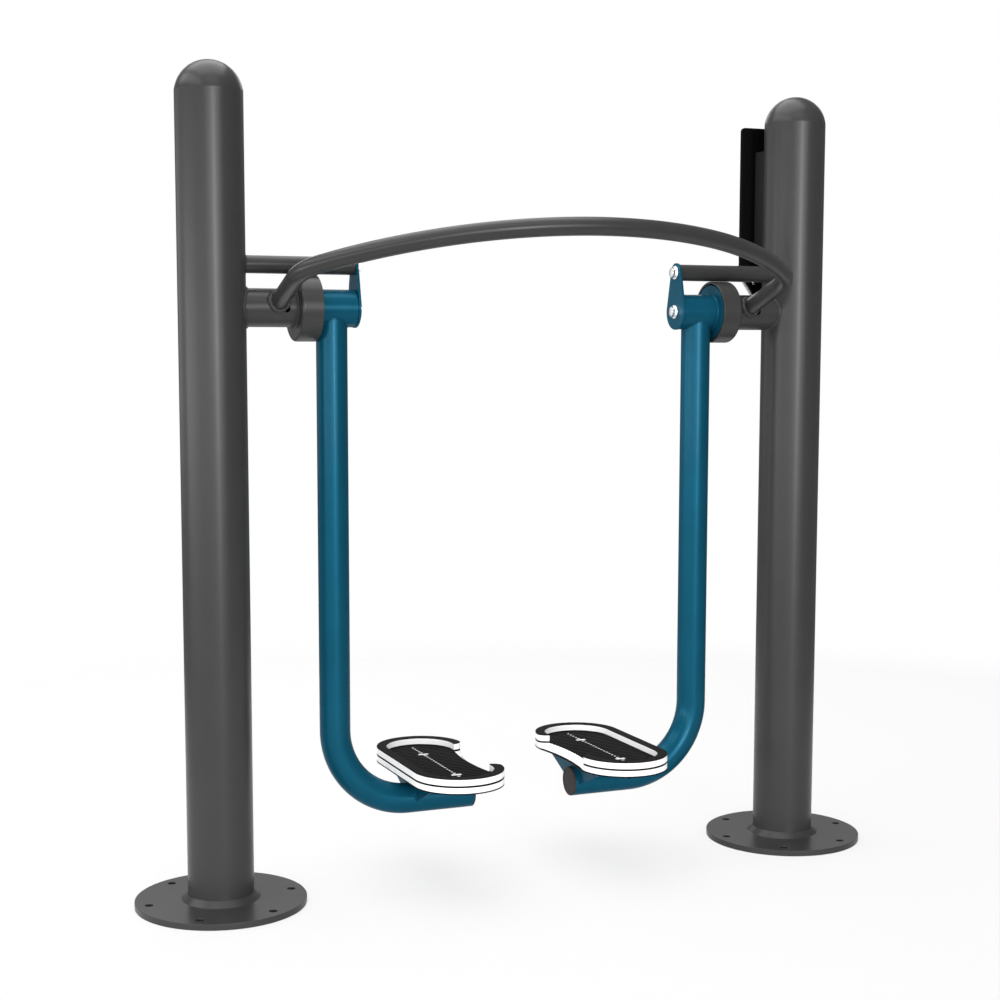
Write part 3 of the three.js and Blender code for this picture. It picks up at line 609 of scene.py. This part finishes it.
# outer ring, two sunk shields and inner ring in one closed section
def bearing(side, name, start):
    outer, bore, end, sink = hub["bearingRadius"], hub["bearingBore"], start + hub["bearingWidth"], hub["shieldSink"]
    wide, narrow = outer - hub["race"], bore + hub["race"]
    face = [(bore, 0), (narrow, 0), (narrow, sink), (wide, sink), (wide, 0), (outer, 0)]
    corners = [(r, start + depth) for r, depth in face] + [(r, end - depth) for r, depth in face[::-1]]
    radii = [0.0006, 0.0002, 0, 0, 0.0002, 0.0006] * 2
    ring = turned(roundCorners(corners, radii, 3), axleCentre, 72, True)
    addPiece(side, f"{name}_ball_bearing", [ring], groundSteel, [f"{name}_bearing"], "leg")


# a disc in the drum's mouth, and below the axle a tongue that reaches in between the bumpers
def stopDisc(side):
    start, end = sleeveOuter, sleeveOuter + hub["discThickness"]
    disc = turnedRing(hub["discBore"], hub["discRadius"], start, end, axleZ, hub["discEdge"], 128)
    half, inner = hub["tongueWidth"] / 2, hub["tongueInner"]
    reach = math.sqrt(hub["discRadius"] ** 2 - half**2)
    outline = np.array([(-half, -inner), (-half, -reach), (half, -reach), (half, -inner)]) + axleCentre[1:]
    tongue = plate(outline, end - hub["tongueRoot"], end + hub["tongueLength"], hub["tongueEdge"], (1, 2, 0))
    addPiece(side, "disc_and_tongue", [disc, tongue], bluePaint, ["stop_disc"], "leg")
    weld = ringBead(start, -1, hub["radius"], axleZ, fullTurn(hub["weldSteps"]), hub["weld"], hub["ripple"])
    addPiece(side, "disc_weld", [weld], bluePaint, (), "leg")


for side in bothSides:
    hubSleeve(side)
    bearing(side, "inner", sleeveInner + hub["bearingRecess"])
    bearing(side, "outer", sleeveOuter - hub["bearingRecess"] - hub["bearingWidth"])
    stopDisc(side)
print("hubs built")


leg = {"radius": 0.03015, "wall": 0.0036, "bend": 0.15, "runEnd": 0.11, "plugRim": 0.004, "bendSteps": 40,
       "sides": 80, "weld": 0.0015, "weldSteps": 360, "ripple": 0.06}
plug = {"spigot": 0.018, "edge": 0.0018, "spigotGap": 0.0003, "spigotEdge": 0.002, "dish": 0.0008,
        "dishRadius": 0.022, "lipRadius": 0.0235}


# down from the hub, a quarter turn of the bend radius and in under the board
def legPath():
    a = np.linspace(0, np.pi / 2, leg["bendSteps"] + 1)
    top, end = runZ + leg["bend"], leg["runEnd"] + leg["plugRim"]
    x, z = legX - leg["bend"] * (1 - np.cos(a)), top - leg["bend"] * np.sin(a)
    down = [(legX, h) for h in (axleZ - 0.03, axleZ - 0.05, top + 0.01)]
    run = [(along, runZ) for along in (x[-1] - 0.01, end + 0.0006, end)]
    flat = np.concatenate([down, np.stack([x, z], 1), run])
    path = pointGrid(flat[:, 0], midY, flat[:, 1])
    bendHeading = pointGrid(-np.sin(a), 0, -np.cos(a))
    headings = np.concatenate([np.tile([0, 0, -1.0], (3, 1)), bendHeading, np.tile([-1.0, 0, 0], (3, 1))])
    return path, headings


# the pipe's walls follow the path, and its top and the weld there stand on the sleeve, sqrt(hubRadius^2 - y^2)
# below the axle
def legTube(side):
    path, headings = legPath()
    walls = []
    for radius in (leg["radius"], leg["radius"] - leg["wall"]):
        rings = tubeRings(path, headings, (0, 1, 0), radius, leg["sides"])
        y = rings[0, :, 1] - midY
        rings[0, :, 2] = axleZ - np.sqrt(hub["radius"] ** 2 - y**2)
        walls.append(rings)
    addPiece(side, "leg_pipe", [hollow(*walls)], bluePaint, ["leg_tube"], "leg")
    line, outward = meetingLine((legX, midY, axleZ), (0, 0, -1), (0, 1, 0), (1, 0, 0), leg["radius"],
                                hub["radius"], np.pi / 2 - fullTurn(leg["weldSteps"]))
    addPiece(side, "leg_weld", [bead(line, outward, leg["weld"], leg["ripple"])], bluePaint, (), "leg")


# a turned cap with a slightly sunk face and a spigot inside the pipe
def legPlug(side):
    start, rim, r = leg["runEnd"], leg["runEnd"] + leg["plugRim"], leg["radius"]
    spigot, face, back = r - leg["wall"] - plug["spigotGap"], start + plug["dish"], rim + plug["spigot"]
    corners = [
        (0, face), (plug["dishRadius"], face), (plug["lipRadius"], start), (r, start), (r, rim), (spigot, rim),
        (spigot, back), (0, back),
    ]
    radii = [0, 0.001, 0.0008, plug["edge"], 0.0003, 0.0002, plug["spigotEdge"], 0]
    cap = turned(roundCorners(corners, radii, closed=False), (0, midY, runZ), 80)
    addPiece(side, "end_plug", [cap], plugPlastic, ["leg_plug"], "leg")


for side in bothSides:
    legTube(side)
    legPlug(side)
print("legs built")


saddle = {"thickness": 0.005, "inner": 0.121, "outer": 0.234, "top": 0.14, "lip": 0.0025, "edge": 0.0007,
          "gap": 0.0003, "weld": 0.0019, "weldEnd": 0.02, "weldSteps": 150, "ripple": 0.1}


# a wing that follows the tube over its top, with ends that slope up to the board
def saddleWing(side, name, start):
    arc = arcPoints((0, 0), leg["radius"] + saddle["gap"], 0, math.pi, 40)
    top, reach, rise = saddle["top"], leg["radius"] + saddle["lip"], boardZ - runZ
    outline = np.concatenate([[(top, rise), (-top, rise), (-reach, 0)], arc[::-1], [(reach, 0)]])
    outline, end = outline + [midY, runZ], start + saddle["thickness"]
    wing = plate(outline, start, end, saddle["edge"], (1, 2, 0))
    a = np.linspace(saddle["weldEnd"], np.pi - saddle["weldEnd"], saddle["weldSteps"])
    beads = [ringBead(x, lean, leg["radius"], runZ, a, saddle["weld"], saddle["ripple"], False)
             for x, lean in ((start, -1), (end, 1))]
    addPiece(side, f"{name}_wing", [wing], bluePaint, [f"{name}_saddle"], "leg")
    addPiece(side, f"{name}_wing_weld", beads, bluePaint, (), "leg")


for side in bothSides:
    saddleWing(side, "inner", saddle["inner"])
    saddleWing(side, "outer", saddle["outer"])
print("saddles built")


board = {
    "half": 0.0904, "straight": 0.1074, "rimInner": 0.0704, "opening": 0.097, "waistDepth": 0.0086,
    "waistBevel": 0.02, "pitch": 0.0125, "phase": 0.0026, "groove": 0.0016, "landHalf": 0.31, "floorHalf": 0.41,
    "landMid": 0.27, "ribsFront": 14, "ribsBack": 13, "edge": 0.0006, "lowEdge": 0.0002, "corner": 0.019,
    "crowd": 0.45,
}
marks = {"dotLength": 0.0044, "dotWidth": 0.0037, "proud": 0.0002, "barLength": 0.0208, "barWidth": 0.0076,
         "wideDot": 0.0064, "bars": (-8, 7), "lastDot": 12, "depth": 0.0008, "corner": 0.0009, "edge": 0.00015}
screw = {"at": 0.0957, "radius": 0.004, "headRadius": 0.008, "headHeight": 0.0045, "flats": 0.0125,
         "flange": 0.0012, "cover": 0.004, "carrier": 0.004, "edge": 0.0006, "point": 0.0008}


# half the width of a shape with straight sides and round ends, at a distance along it
def roundEnded(v, half):
    over = np.clip(np.abs(v) - board["straight"], 0, half)
    return np.sqrt(half**2 - over**2) * (np.abs(v) <= board["straight"] + half + 1e-9)


# how far the outline is drawn in beside the opening, where its corners are quarter rounds
def cornerPull(v):
    r = board["corner"]
    short = np.clip(r + board["opening"] - np.abs(v), 0, r)
    return r - np.sqrt(r**2 - short**2)


# rows across the board: left and right lines of the top, the ribbed field's lines, and the underside's left line.
# In the waist the top's left line is an arc plus the bevel and the underside's the arc alone, and the row at each
# end of the waist is there twice, as in the waist and as beside it.
def boardRows():
    p, h, opening, depth = board["pitch"], board["half"], board["opening"], board["waistDepth"]
    land = [board["landMid"], board["landHalf"], board["floorHalf"]]
    cuts = np.array([-0.5, *np.negative(land[::-1]), 0, *land])
    v = (np.arange(-board["ribsFront"], board["ribsBack"] + 1)[:, None] + cuts).ravel() * p + board["phase"]
    v = np.append(v, (board["ribsBack"] + 0.5) * p + board["phase"])
    ends = [board["straight"] + h * np.sin(np.linspace(0, np.radians(88.5), 25)),
            board["straight"] + board["rimInner"] * np.sin(np.linspace(0, np.pi / 2, 21)),
            opening + board["corner"] * (1 - np.cos(np.linspace(0, np.pi / 2, 15)))]
    ends = np.concatenate(ends)
    v = np.unique(np.round(np.concatenate([v, ends, -ends]), 6))
    v = v[np.abs(np.append(v[1:] - v[:-1], 1)) > 4e-5]
    radius = (opening**2 + depth**2) / (2 * depth)
    arc = -h + depth - radius + np.sqrt(np.maximum(radius**2 - v**2, 0))
    outer, field = roundEnded(v, h), roundEnded(v, board["rimInner"])
    inWaist = np.abs(v) < opening - 1e-6
    edge = np.abs(np.abs(v) - opening) <= 1e-6
    step = arc + board["waistBevel"]
    top = cornerPull(v) - outer
    plain = np.stack([v, top, np.maximum(-field, top), field, outer, -outer], 1)
    cut = np.stack([v, step, step, field, outer, arc], 1)
    plain[edge, 2] = step[edge]
    rows = np.where(inWaist[:, None], cut, plain)
    first, last = np.flatnonzero(edge)[[0, -1]]
    return np.insert(rows, [first + 1, last], cut[[first, last]], 0)


# the ribbed top: height falls by the groove's depth between the lands, as a trapezoid wave of the distance along
def ribHeight(v):
    along = (v - board["phase"]) / board["pitch"]
    phase = np.abs((along + 0.5) % 1 - 0.5)
    fall = np.clip((phase - board["landHalf"]) / (board["floorHalf"] - board["landHalf"]), 0, 1)
    inField = (along > -board["ribsFront"] - 0.5) & (along < board["ribsBack"] + 0.5)
    inField &= np.abs(v) < board["straight"] + board["rimInner"] - 1e-6
    return -board["groove"] * fall * inField


# each row runs up the left wall, over the ribbed field and the right margin and down again; the ribs run out at
# the left wall only in the waist
def pedalBase(side):
    v, left, fieldLeft, fieldRight, right, under = boardRows().T
    low, high = boardZ, rimZ
    t = np.linspace(0, 1, 13)[None]
    field = fieldLeft[:, None] + t * (fieldRight - fieldLeft)[:, None]
    heights = high + ribHeight(v)[:, None] * np.ones_like(t)
    flush = np.abs(left - fieldLeft) < 1e-9
    heights[:, -1] = high
    heights[~flush, 0] = high
    x = np.column_stack([under, left, field, right, right])
    z = np.column_stack([0 * v + low, heights[:, 0], heights, 0 * v + high, 0 * v + low])
    points = pointGrid(pedalX + x, boardY + v[:, None], z)
    addPiece(side, "ribbed_board", [closedEnds(points)], baseBoard, ["pedal_base"], "leg", 20)


# the rim: a box section with rounded edges carried along the round-ended line, from one side of the opening to
# the other; its outer half is drawn in at both ends, which are closed flat. The ends' angles a = pi t - crowd
# * sin(2 pi t) gather the points where the round ends start
def pedalRim(side):
    middle, half = (board["half"] + board["rimInner"]) / 2, (board["half"] - board["rimInner"]) / 2
    t = np.linspace(0, 1, 81)
    a = np.pi * t - board["crowd"] * np.sin(2 * np.pi * t)
    s, o, e, lowEdge = board["straight"], board["opening"], board["edge"], board["lowEdge"]
    front = np.stack([-middle * np.cos(a), -s - middle * np.sin(a)], 1)
    frontOut = np.stack([-np.cos(a), -np.sin(a)], 1)
    left = np.stack([np.full(9, -middle), -o - (s - o) * (1 - np.cos(np.linspace(0, np.pi / 2, 10)))[:-1]], 1)
    path = np.concatenate([left, front, -front, left[::-1] * [1, -1]])
    out = np.concatenate([[[-1, 0]] * len(left), frontOut, -frontOut, [[-1, 0]] * len(left)])
    low, high = rimZ, topZ
    section = roundCorners([(-half, low), (half, low), (half, high), (-half, high)], [lowEdge, lowEdge, e, e], 3)
    pull = np.where(path[:, 0] < 0, cornerPull(path[:, 1] + half * out[:, 1]), 0)
    width = section[None, :, :1] - np.where(section[None, :, :1] > 0, pull[:, None, None], 0)
    flat = path[:, None] + width * out[:, None]
    z = np.repeat(section[None, :, 1], len(path), 0)
    points = np.concatenate([flat, z[..., None]], -1)
    caps = [np.tile(points[i].mean(0), (1, points.shape[1], 1)) for i in (0, -1)]
    points = np.concatenate([caps[0], points, caps[1]]) + [pedalX, boardY, 0]
    addPiece(side, "raised_rim", [patch(points)], rimBoard, ["pedal_rim"], "leg")


# white marks on the ribs' lands: a dot on each land along the middle and a bar across two of them, with wider dots
# beside the bars
def pedalMarks(side):
    low, high = rimZ - marks["depth"], rimZ + marks["proud"]
    inlays = []
    for k in range(marks["bars"][0] - 1, marks["lastDot"] + 1):
        wide, long = marks["dotWidth"], marks["dotLength"]
        if k in marks["bars"]:
            wide, long = marks["barLength"], marks["barWidth"]
        elif k - 1 in marks["bars"] or k + 1 in marks["bars"]:
            wide = marks["wideDot"]
        place = [pedalX, boardY + board["phase"] + k * board["pitch"]]
        corners = np.array([(-1, -1), (1, -1), (1, 1), (-1, 1)]) * [wide / 2, long / 2] + place
        outline = roundCorners(corners, marks["corner"], 3, hold=0.00005)
        inlays.append(plate(outline, low, high, marks["edge"], steps=2))
    addPiece(side, "board_marks", inlays, whiteInlay, (), "leg")


# a hexagon screw from below: its flanged head bears on the carrier, and its shank ends in the board
def pedalScrew(side, name, y):
    r, seat, tip = screw["radius"], boardZ - screw["carrier"], rimZ - screw["cover"]
    a = fullTurn(48)
    hexagon, head, e, point = hexRadius(screw["flats"], a), screw["headRadius"], screw["edge"], screw["point"]
    low, rim = seat - screw["headHeight"], seat - screw["flange"]
    radii, z = profileRows([
        (0, low), (hexagon - e, low), (hexagon, low + 0.0005), (hexagon, rim - e), (head - e, rim),
        (head, rim + 0.0004), (head, seat), (r, seat), (r, tip - point), (r - point, tip), (0, tip),
    ], a)
    points = pointGrid(pedalX + radii * np.cos(a), midY + y + radii * np.sin(a), z)
    addPiece(side, f"{name}_flange_screw", [patch(points)], brightSteel,
             [f"{name}_pedal_screw"], "leg", 25)


for side in bothSides:
    pedalBase(side)
    pedalRim(side)
    pedalMarks(side)
    pedalScrew(side, "front", -screw["at"])
    pedalScrew(side, "rear", screw["at"])
print("foot boards built")


bar = {"radius": 0.01685, "wall": 0.0026, "tilt": 19.8, "footInset": 0.121, "reach": 0.4123, "straight": 0.1481,
       "bend": 0.093, "archSteps": 110, "bendSteps": 22, "sides": 72, "weld": 0.0048, "weldOut": 0.0012,
       "weldSteps": 360, "lump": 0.3, "ripple": 0.1, "ventRadius": 0.0068, "ventOut": 0.0195,
       "ventFrom": 0.02, "ventTo": 0.05, "ventTurns": {"right": 124, "left": 136}}


# foot, bend, arch, bend and foot in the bar's plane (x across, ahead of the axle line); the arch's radius makes
# it touch both bends
def barPath():
    footX = postX - bar["footInset"]
    across, ahead = footX - bar["bend"], bar["reach"] - bar["straight"]
    arch = (across**2 + ahead**2 - bar["bend"] ** 2) / (2 * (ahead - bar["bend"]))
    centre = bar["reach"] - arch
    reach = math.atan2(across, bar["straight"] - centre)
    bend = np.linspace(np.pi / 2, reach, bar["bendSteps"] + 1)
    sweep = np.linspace(reach, -reach, bar["archSteps"] + 1)[1:-1]
    turns = np.concatenate([bend, sweep, -bend[::-1]])
    counts = (len(bend), len(sweep), len(bend))
    radii = np.repeat([bar["bend"], arch, bar["bend"]], counts)
    centreX = np.repeat([across, 0, -across], counts)
    centreAhead = np.repeat([bar["straight"], centre, bar["straight"]], counts)
    ends = np.array([0, 0.045])
    x = np.concatenate([footX + 0 * ends, centreX + radii * np.sin(turns), -footX + 0 * ends])
    front = np.concatenate([ends, centreAhead + radii * np.cos(turns), ends[::-1]])
    headingX = np.concatenate([[0, 0], -np.cos(turns), [0, 0]])
    headingFront = np.concatenate([[1, 1], np.sin(turns), [-1, -1]])
    return x, front, headingX, headingFront


# a closed weld round a foot, on a ring a little wider than the bar; its lumpy radius is heavier on the photograph's
# left
def footWeld(side, centre, inward, forward, normal):
    t = fullTurn(bar["weldSteps"])
    line, outward = meetingLine(centre, forward, normal, inward, bar["radius"] + bar["weldOut"], stub["radius"], t)
    heavy = 1 - bar["lump"] * np.sin(t) * inward[0] + 0.1 * np.sin(7 * t) + 0.07 * np.sin(17 * t + 1)
    addPiece(None, f"{side}_bar_weld", [bead(line, outward, bar["weld"] * heavy, bar["ripple"], sides=12)], greyPaint)


# a vent hole through the stub's wall beside each foot: a cylinder along the foot, taken out of the stub tube
def ventHole(side, centre, forward, normal):
    turn = math.radians(bar["ventTurns"][side])
    across = np.array([1.0, 0, 0])
    a = fullTurn(28)
    ring = bar["ventRadius"] * (np.cos(a)[:, None] * across + np.sin(a)[:, None] * normal)
    rows = [(bar["ventFrom"], 0), (bar["ventFrom"], 1), (bar["ventTo"], 1), (bar["ventTo"], 0)]
    rings = np.stack([ahead * forward + wide * ring for ahead, wide in rows])
    centre = centre + bar["ventOut"] * (math.sin(turn) * across + math.cos(turn) * normal)
    cutAway(bpy.data.objects[f"{side}_stub_tube"], [patch(centre + rings)])


# the bar's plane leans back by the tilt about the axle line, and both feet end on the stubs' surface
def handlebar():
    x, front, headingX, headingFront = barPath()
    c, s = math.cos(math.radians(bar["tilt"])), math.sin(math.radians(bar["tilt"]))
    forward, normal = np.array([0, -c, s]), np.array([0, s, c])
    path = np.array(axleCentre) + np.outer(front, forward) + np.outer(x, [1, 0, 0])
    headings = np.outer(headingFront, forward) + np.outer(headingX, [1, 0, 0])
    walls = []
    for radius in (bar["radius"], bar["radius"] - bar["wall"]):
        rings = tubeRings(path, headings, normal, radius, bar["sides"])
        for end in (0, -1):
            lift = ((rings[end] - path[end]) @ normal)[:, None]
            rings[end] += np.sqrt(stub["radius"] ** 2 - lift**2) * forward
        walls.append(rings)
    addPiece(None, "grip_bar", [hollow(*walls)], greyPaint, ["handlebar"])
    for side, end in (("right", 0), ("left", -1)):
        footWeld(side, path[end], np.array([-float(bothSides[side]), 0, 0]), forward, normal)
        ventHole(side, path[end], forward, normal)


handlebar()
print("handlebar built")


info = {
    "width": 0.166, "top": 1.537, "shoulder": 1.232, "bottom": 1.16, "footWidth": 0.061, "corner": 0.008,
    "back": 0.075, "thickness": 0.008, "panel": 0.006, "inset": 0.004, "drop": 0.005, "edge": 0.0008,
    "bracketHalf": 0.052, "bracketTop": 1.485, "bracketBottom": 1.275, "bracketWall": 0.003, "bracketSeat": 0.0638,
    "bracketEdge": 0.0005, "fixingHalf": 0.0495, "fixingZ": 1.209, "fixingRadius": 0.004, "fixingHead": 0.0024,
    "pinRadius": 0.002, "pinCover": 0.002,
}


# the board's outline: round upper corners, and from the shoulders down to a narrow foot; inset draws it in
def infoOutline(inset, drop):
    half, top, narrow = info["width"] / 2 - inset, info["top"] - inset, info["footWidth"] / 2
    slope = (info["shoulder"] - info["bottom"]) / (info["width"] / 2 - narrow)
    shoulder, bottom = info["shoulder"] - inset * slope - drop, info["bottom"] - drop
    corners = [(-narrow, bottom), (narrow, bottom), (half, shoulder), (half, top), (-half, top), (-half, shoulder)]
    radii = [0.002, 0.002, 0.003, info["corner"], info["corner"], 0.003]
    return roundCorners(corners, radii, 8) + [postX, 0]


# two sheets on a bent channel, whose flanges end on a circle round the post, and two domed pins through them
def infoBoard():
    back = midY + info["back"]
    middle = back + info["thickness"]
    end = middle + info["panel"]
    backSheet = plate(infoOutline(0, 0), back, middle, info["edge"], (0, 2, 1))
    addPiece(None, "info_back_sheet", [backSheet], blackSheet, ["board_back_plate"])
    frontSheet = plate(infoOutline(info["inset"], info["drop"]), middle, end, info["edge"], (0, 2, 1))
    addPiece(None, "info_front_sheet", [frontSheet], paleSheet, ["board_front_panel"])
    outer, inner = info["bracketHalf"], info["bracketHalf"] - info["bracketWall"]
    outerFoot, innerFoot = (math.sqrt(info["bracketSeat"] ** 2 - half**2) for half in (outer, inner))
    web = info["back"] - info["bracketWall"]
    corners = [(-outer, outerFoot), (-inner, innerFoot), (-inner, web), (inner, web), (inner, innerFoot),
               (outer, outerFoot), (outer, info["back"]), (-outer, info["back"])]
    radii = [0.0003, 0.0003, 0.002, 0.002, 0.0003, 0.0003, 0.005, 0.005]
    channel = roundCorners(corners, radii, 6) + [postX, midY]
    bent = plate(channel, info["bracketBottom"], info["bracketTop"], info["bracketEdge"])
    # the channel's darker coat holds painted shade for the board's shadow
    addPiece(None, "info_bracket", [bent], bracketShadePaint, ["board_bracket"])
    r, head, pin, tip = info["fixingRadius"], info["fixingHead"], info["pinRadius"], end - info["pinCover"]
    for name, x in (("left", -info["fixingHalf"]), ("right", info["fixingHalf"])):
        a = np.linspace(0, np.pi / 2, 9)[::-1]
        dome = np.stack([r * np.cos(a), back - head * np.sin(a) * 0.9 - head * 0.1], 1)
        profile = np.concatenate([[(0, back - head)], dome[1:], [(r, back), (pin, back), (pin, tip), (0, tip)]])
        rivet = turned(profile, (postX + x, 0, info["fixingZ"]), 40, axis="y")
        addPiece(None, f"info_{name}_rivet", [rivet], brightSteel, [f"board_{name}_screw"])


infoBoard()
print("information board built")


carried = {"front_bumper": stopRubber, "rear_bumper": stopRubber, "pedal_carrier": bluePaint}
for side in bothSides:
    for node, material in carried.items():
        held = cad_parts[f"{side}_{node}"]
        held.data.materials.clear()
        held.data.materials.append(material)
print("carried nodes finished")


floor = {"size": 30, "z": -0.0005, "albedo": 0.7, "roughness": 0.9, "body": 0.25, "solid": 1.4, "gone": 3.2}
mesh = bpy.data.meshes.new("floor")
corners = [(x * floor["size"], y * floor["size"], floor["z"]) for x, y in ((-1, -1), (1, -1), (1, 1), (-1, 1))]
mesh.from_pydata(corners, [], [(0, 1, 2, 3)])
ground = placed("floor", mesh)
material, tree, shader, coords = newMaterial("floor")
setInputs(shader, {
    "Base Color": (floor["albedo"],) * 3 + (1,), "Roughness": floor["roughness"], "Specular IOR Level": 0.0,
})
# the floor fades out with the distance from the middle, and is mostly clear to the camera, so that shadows stay faint
reach = addNode(tree, "ShaderNodeVectorMath", {0: coords}, "LENGTH").outputs["Value"]
fade = addNode(tree, "ShaderNodeMapRange", {"Value": reach, "From Min": floor["solid"], "From Max": floor["gone"]})
fade.interpolation_type = "SMOOTHSTEP"
seen = addNode(tree, "ShaderNodeLightPath", {}).outputs["Is Camera Ray"]
veil = addNode(tree, "ShaderNodeMath", {0: seen, 1: 1 - floor["body"]}, "MULTIPLY").outputs["Value"]
thin = addNode(tree, "ShaderNodeMath", {0: fade.outputs["Result"], 1: veil}, "MAXIMUM").outputs["Value"]
clear = addNode(tree, "ShaderNodeBsdfTransparent", {}).outputs["BSDF"]
faded = addNode(tree, "ShaderNodeMixShader", {"Fac": thin, 1: shader.outputs["BSDF"], 2: clear})
setInputs(tree.nodes["Material Output"], {"Surface": faded.outputs["Shader"]})
mesh.materials.append(material)

# the camera sees plain white behind the floor; the light itself comes from soft panels and a faint glow
world = bpy.data.worlds.new("studio")
world.use_nodes = True
bpy.context.scene.world = world
tree = world.node_tree
glow = tree.nodes["Background"]
glow.inputs["Color"].default_value = (0.2, 0.2, 0.2, 1)
plain = addNode(tree, "ShaderNodeBackground", {"Color": (1, 1, 1, 1)}).outputs["Background"]
seen = addNode(tree, "ShaderNodeLightPath", {}).outputs["Is Camera Ray"]
mixed = addNode(tree, "ShaderNodeMixShader", {"Fac": seen, 1: glow.outputs["Background"], 2: plain})
setInputs(tree.nodes["World Output"], {"Surface": mixed.outputs["Shader"]})


# a rectangular panel of even brightness: its power is brightness * pi * area
def panel(name, at, towards, width, height, brightness):
    data = bpy.data.lights.new(name, "AREA")
    data.shape, data.size, data.size_y = "RECTANGLE", width, height
    data.energy = brightness * math.pi * width * height
    lamp = placed(name, data)
    lamp.location = at
    lamp.rotation_euler = (Vector(towards) - Vector(at)).to_track_quat("-Z", "Y").to_euler()
    lamp.visible_camera = False


# name, place, what it faces, width, height, brightness
panel("front strip", (-0.46, -16, 2.0), (0, 0, 2.0), 1.4, 3.9, 36)
panel("front wall", (-0.5, -14, 2.6), (0, 0, 2.6), 11.4, 5.1, 6)
panel("left front wall", (-8.5, -8.5, 1.0), (0, 0, 1.0), 9.8, 1.9, 5.8)
panel("left wall", (-12, 0, 1.0), (0, 0, 1.0), 9.8, 1.9, 8)
panel("left rear wall", (-8.5, 8.5, 1.6), (0, 0, 1.6), 9.8, 3.1, 1)
panel("left soft box", (-4.5, 0, 4.8), (0, 0, 1), 9, 1.9, 3.6)
panel("rear soft box", (3, 8, 4.5), (0, 0, 1), 10, 2.6, 1.6)
panel("top soft box", (-0.4, 1.1, 5), (-0.4, 1.1, 0), 4.4, 5.2, 3.5)
panel("front soft box", (-0.5, -3, 4.5), (0, 0, 0.8), 3, 2, 2)

view = {"at": (-1.39811, -3.09688, 1.0566), "down": 6.013, "turn": -22.138, "lens": 62.27,
        "shiftX": 0.02285, "shiftY": 0.03588, "near": 0.05, "far": 200}
data = bpy.data.cameras.new("photo view")
data.sensor_width, data.lens = 36, view["lens"]
data.shift_x, data.shift_y = view["shiftX"], view["shiftY"]
data.clip_start, data.clip_end = view["near"], view["far"]
eye = placed("photo view", data)
eye.location = view["at"]
eye.rotation_euler = (math.radians(90 - view["down"]), 0, math.radians(view["turn"]))
bpy.context.scene.camera = eye
bpy.context.scene.view_settings.view_transform = "Standard"
print("floor, light and camera set")
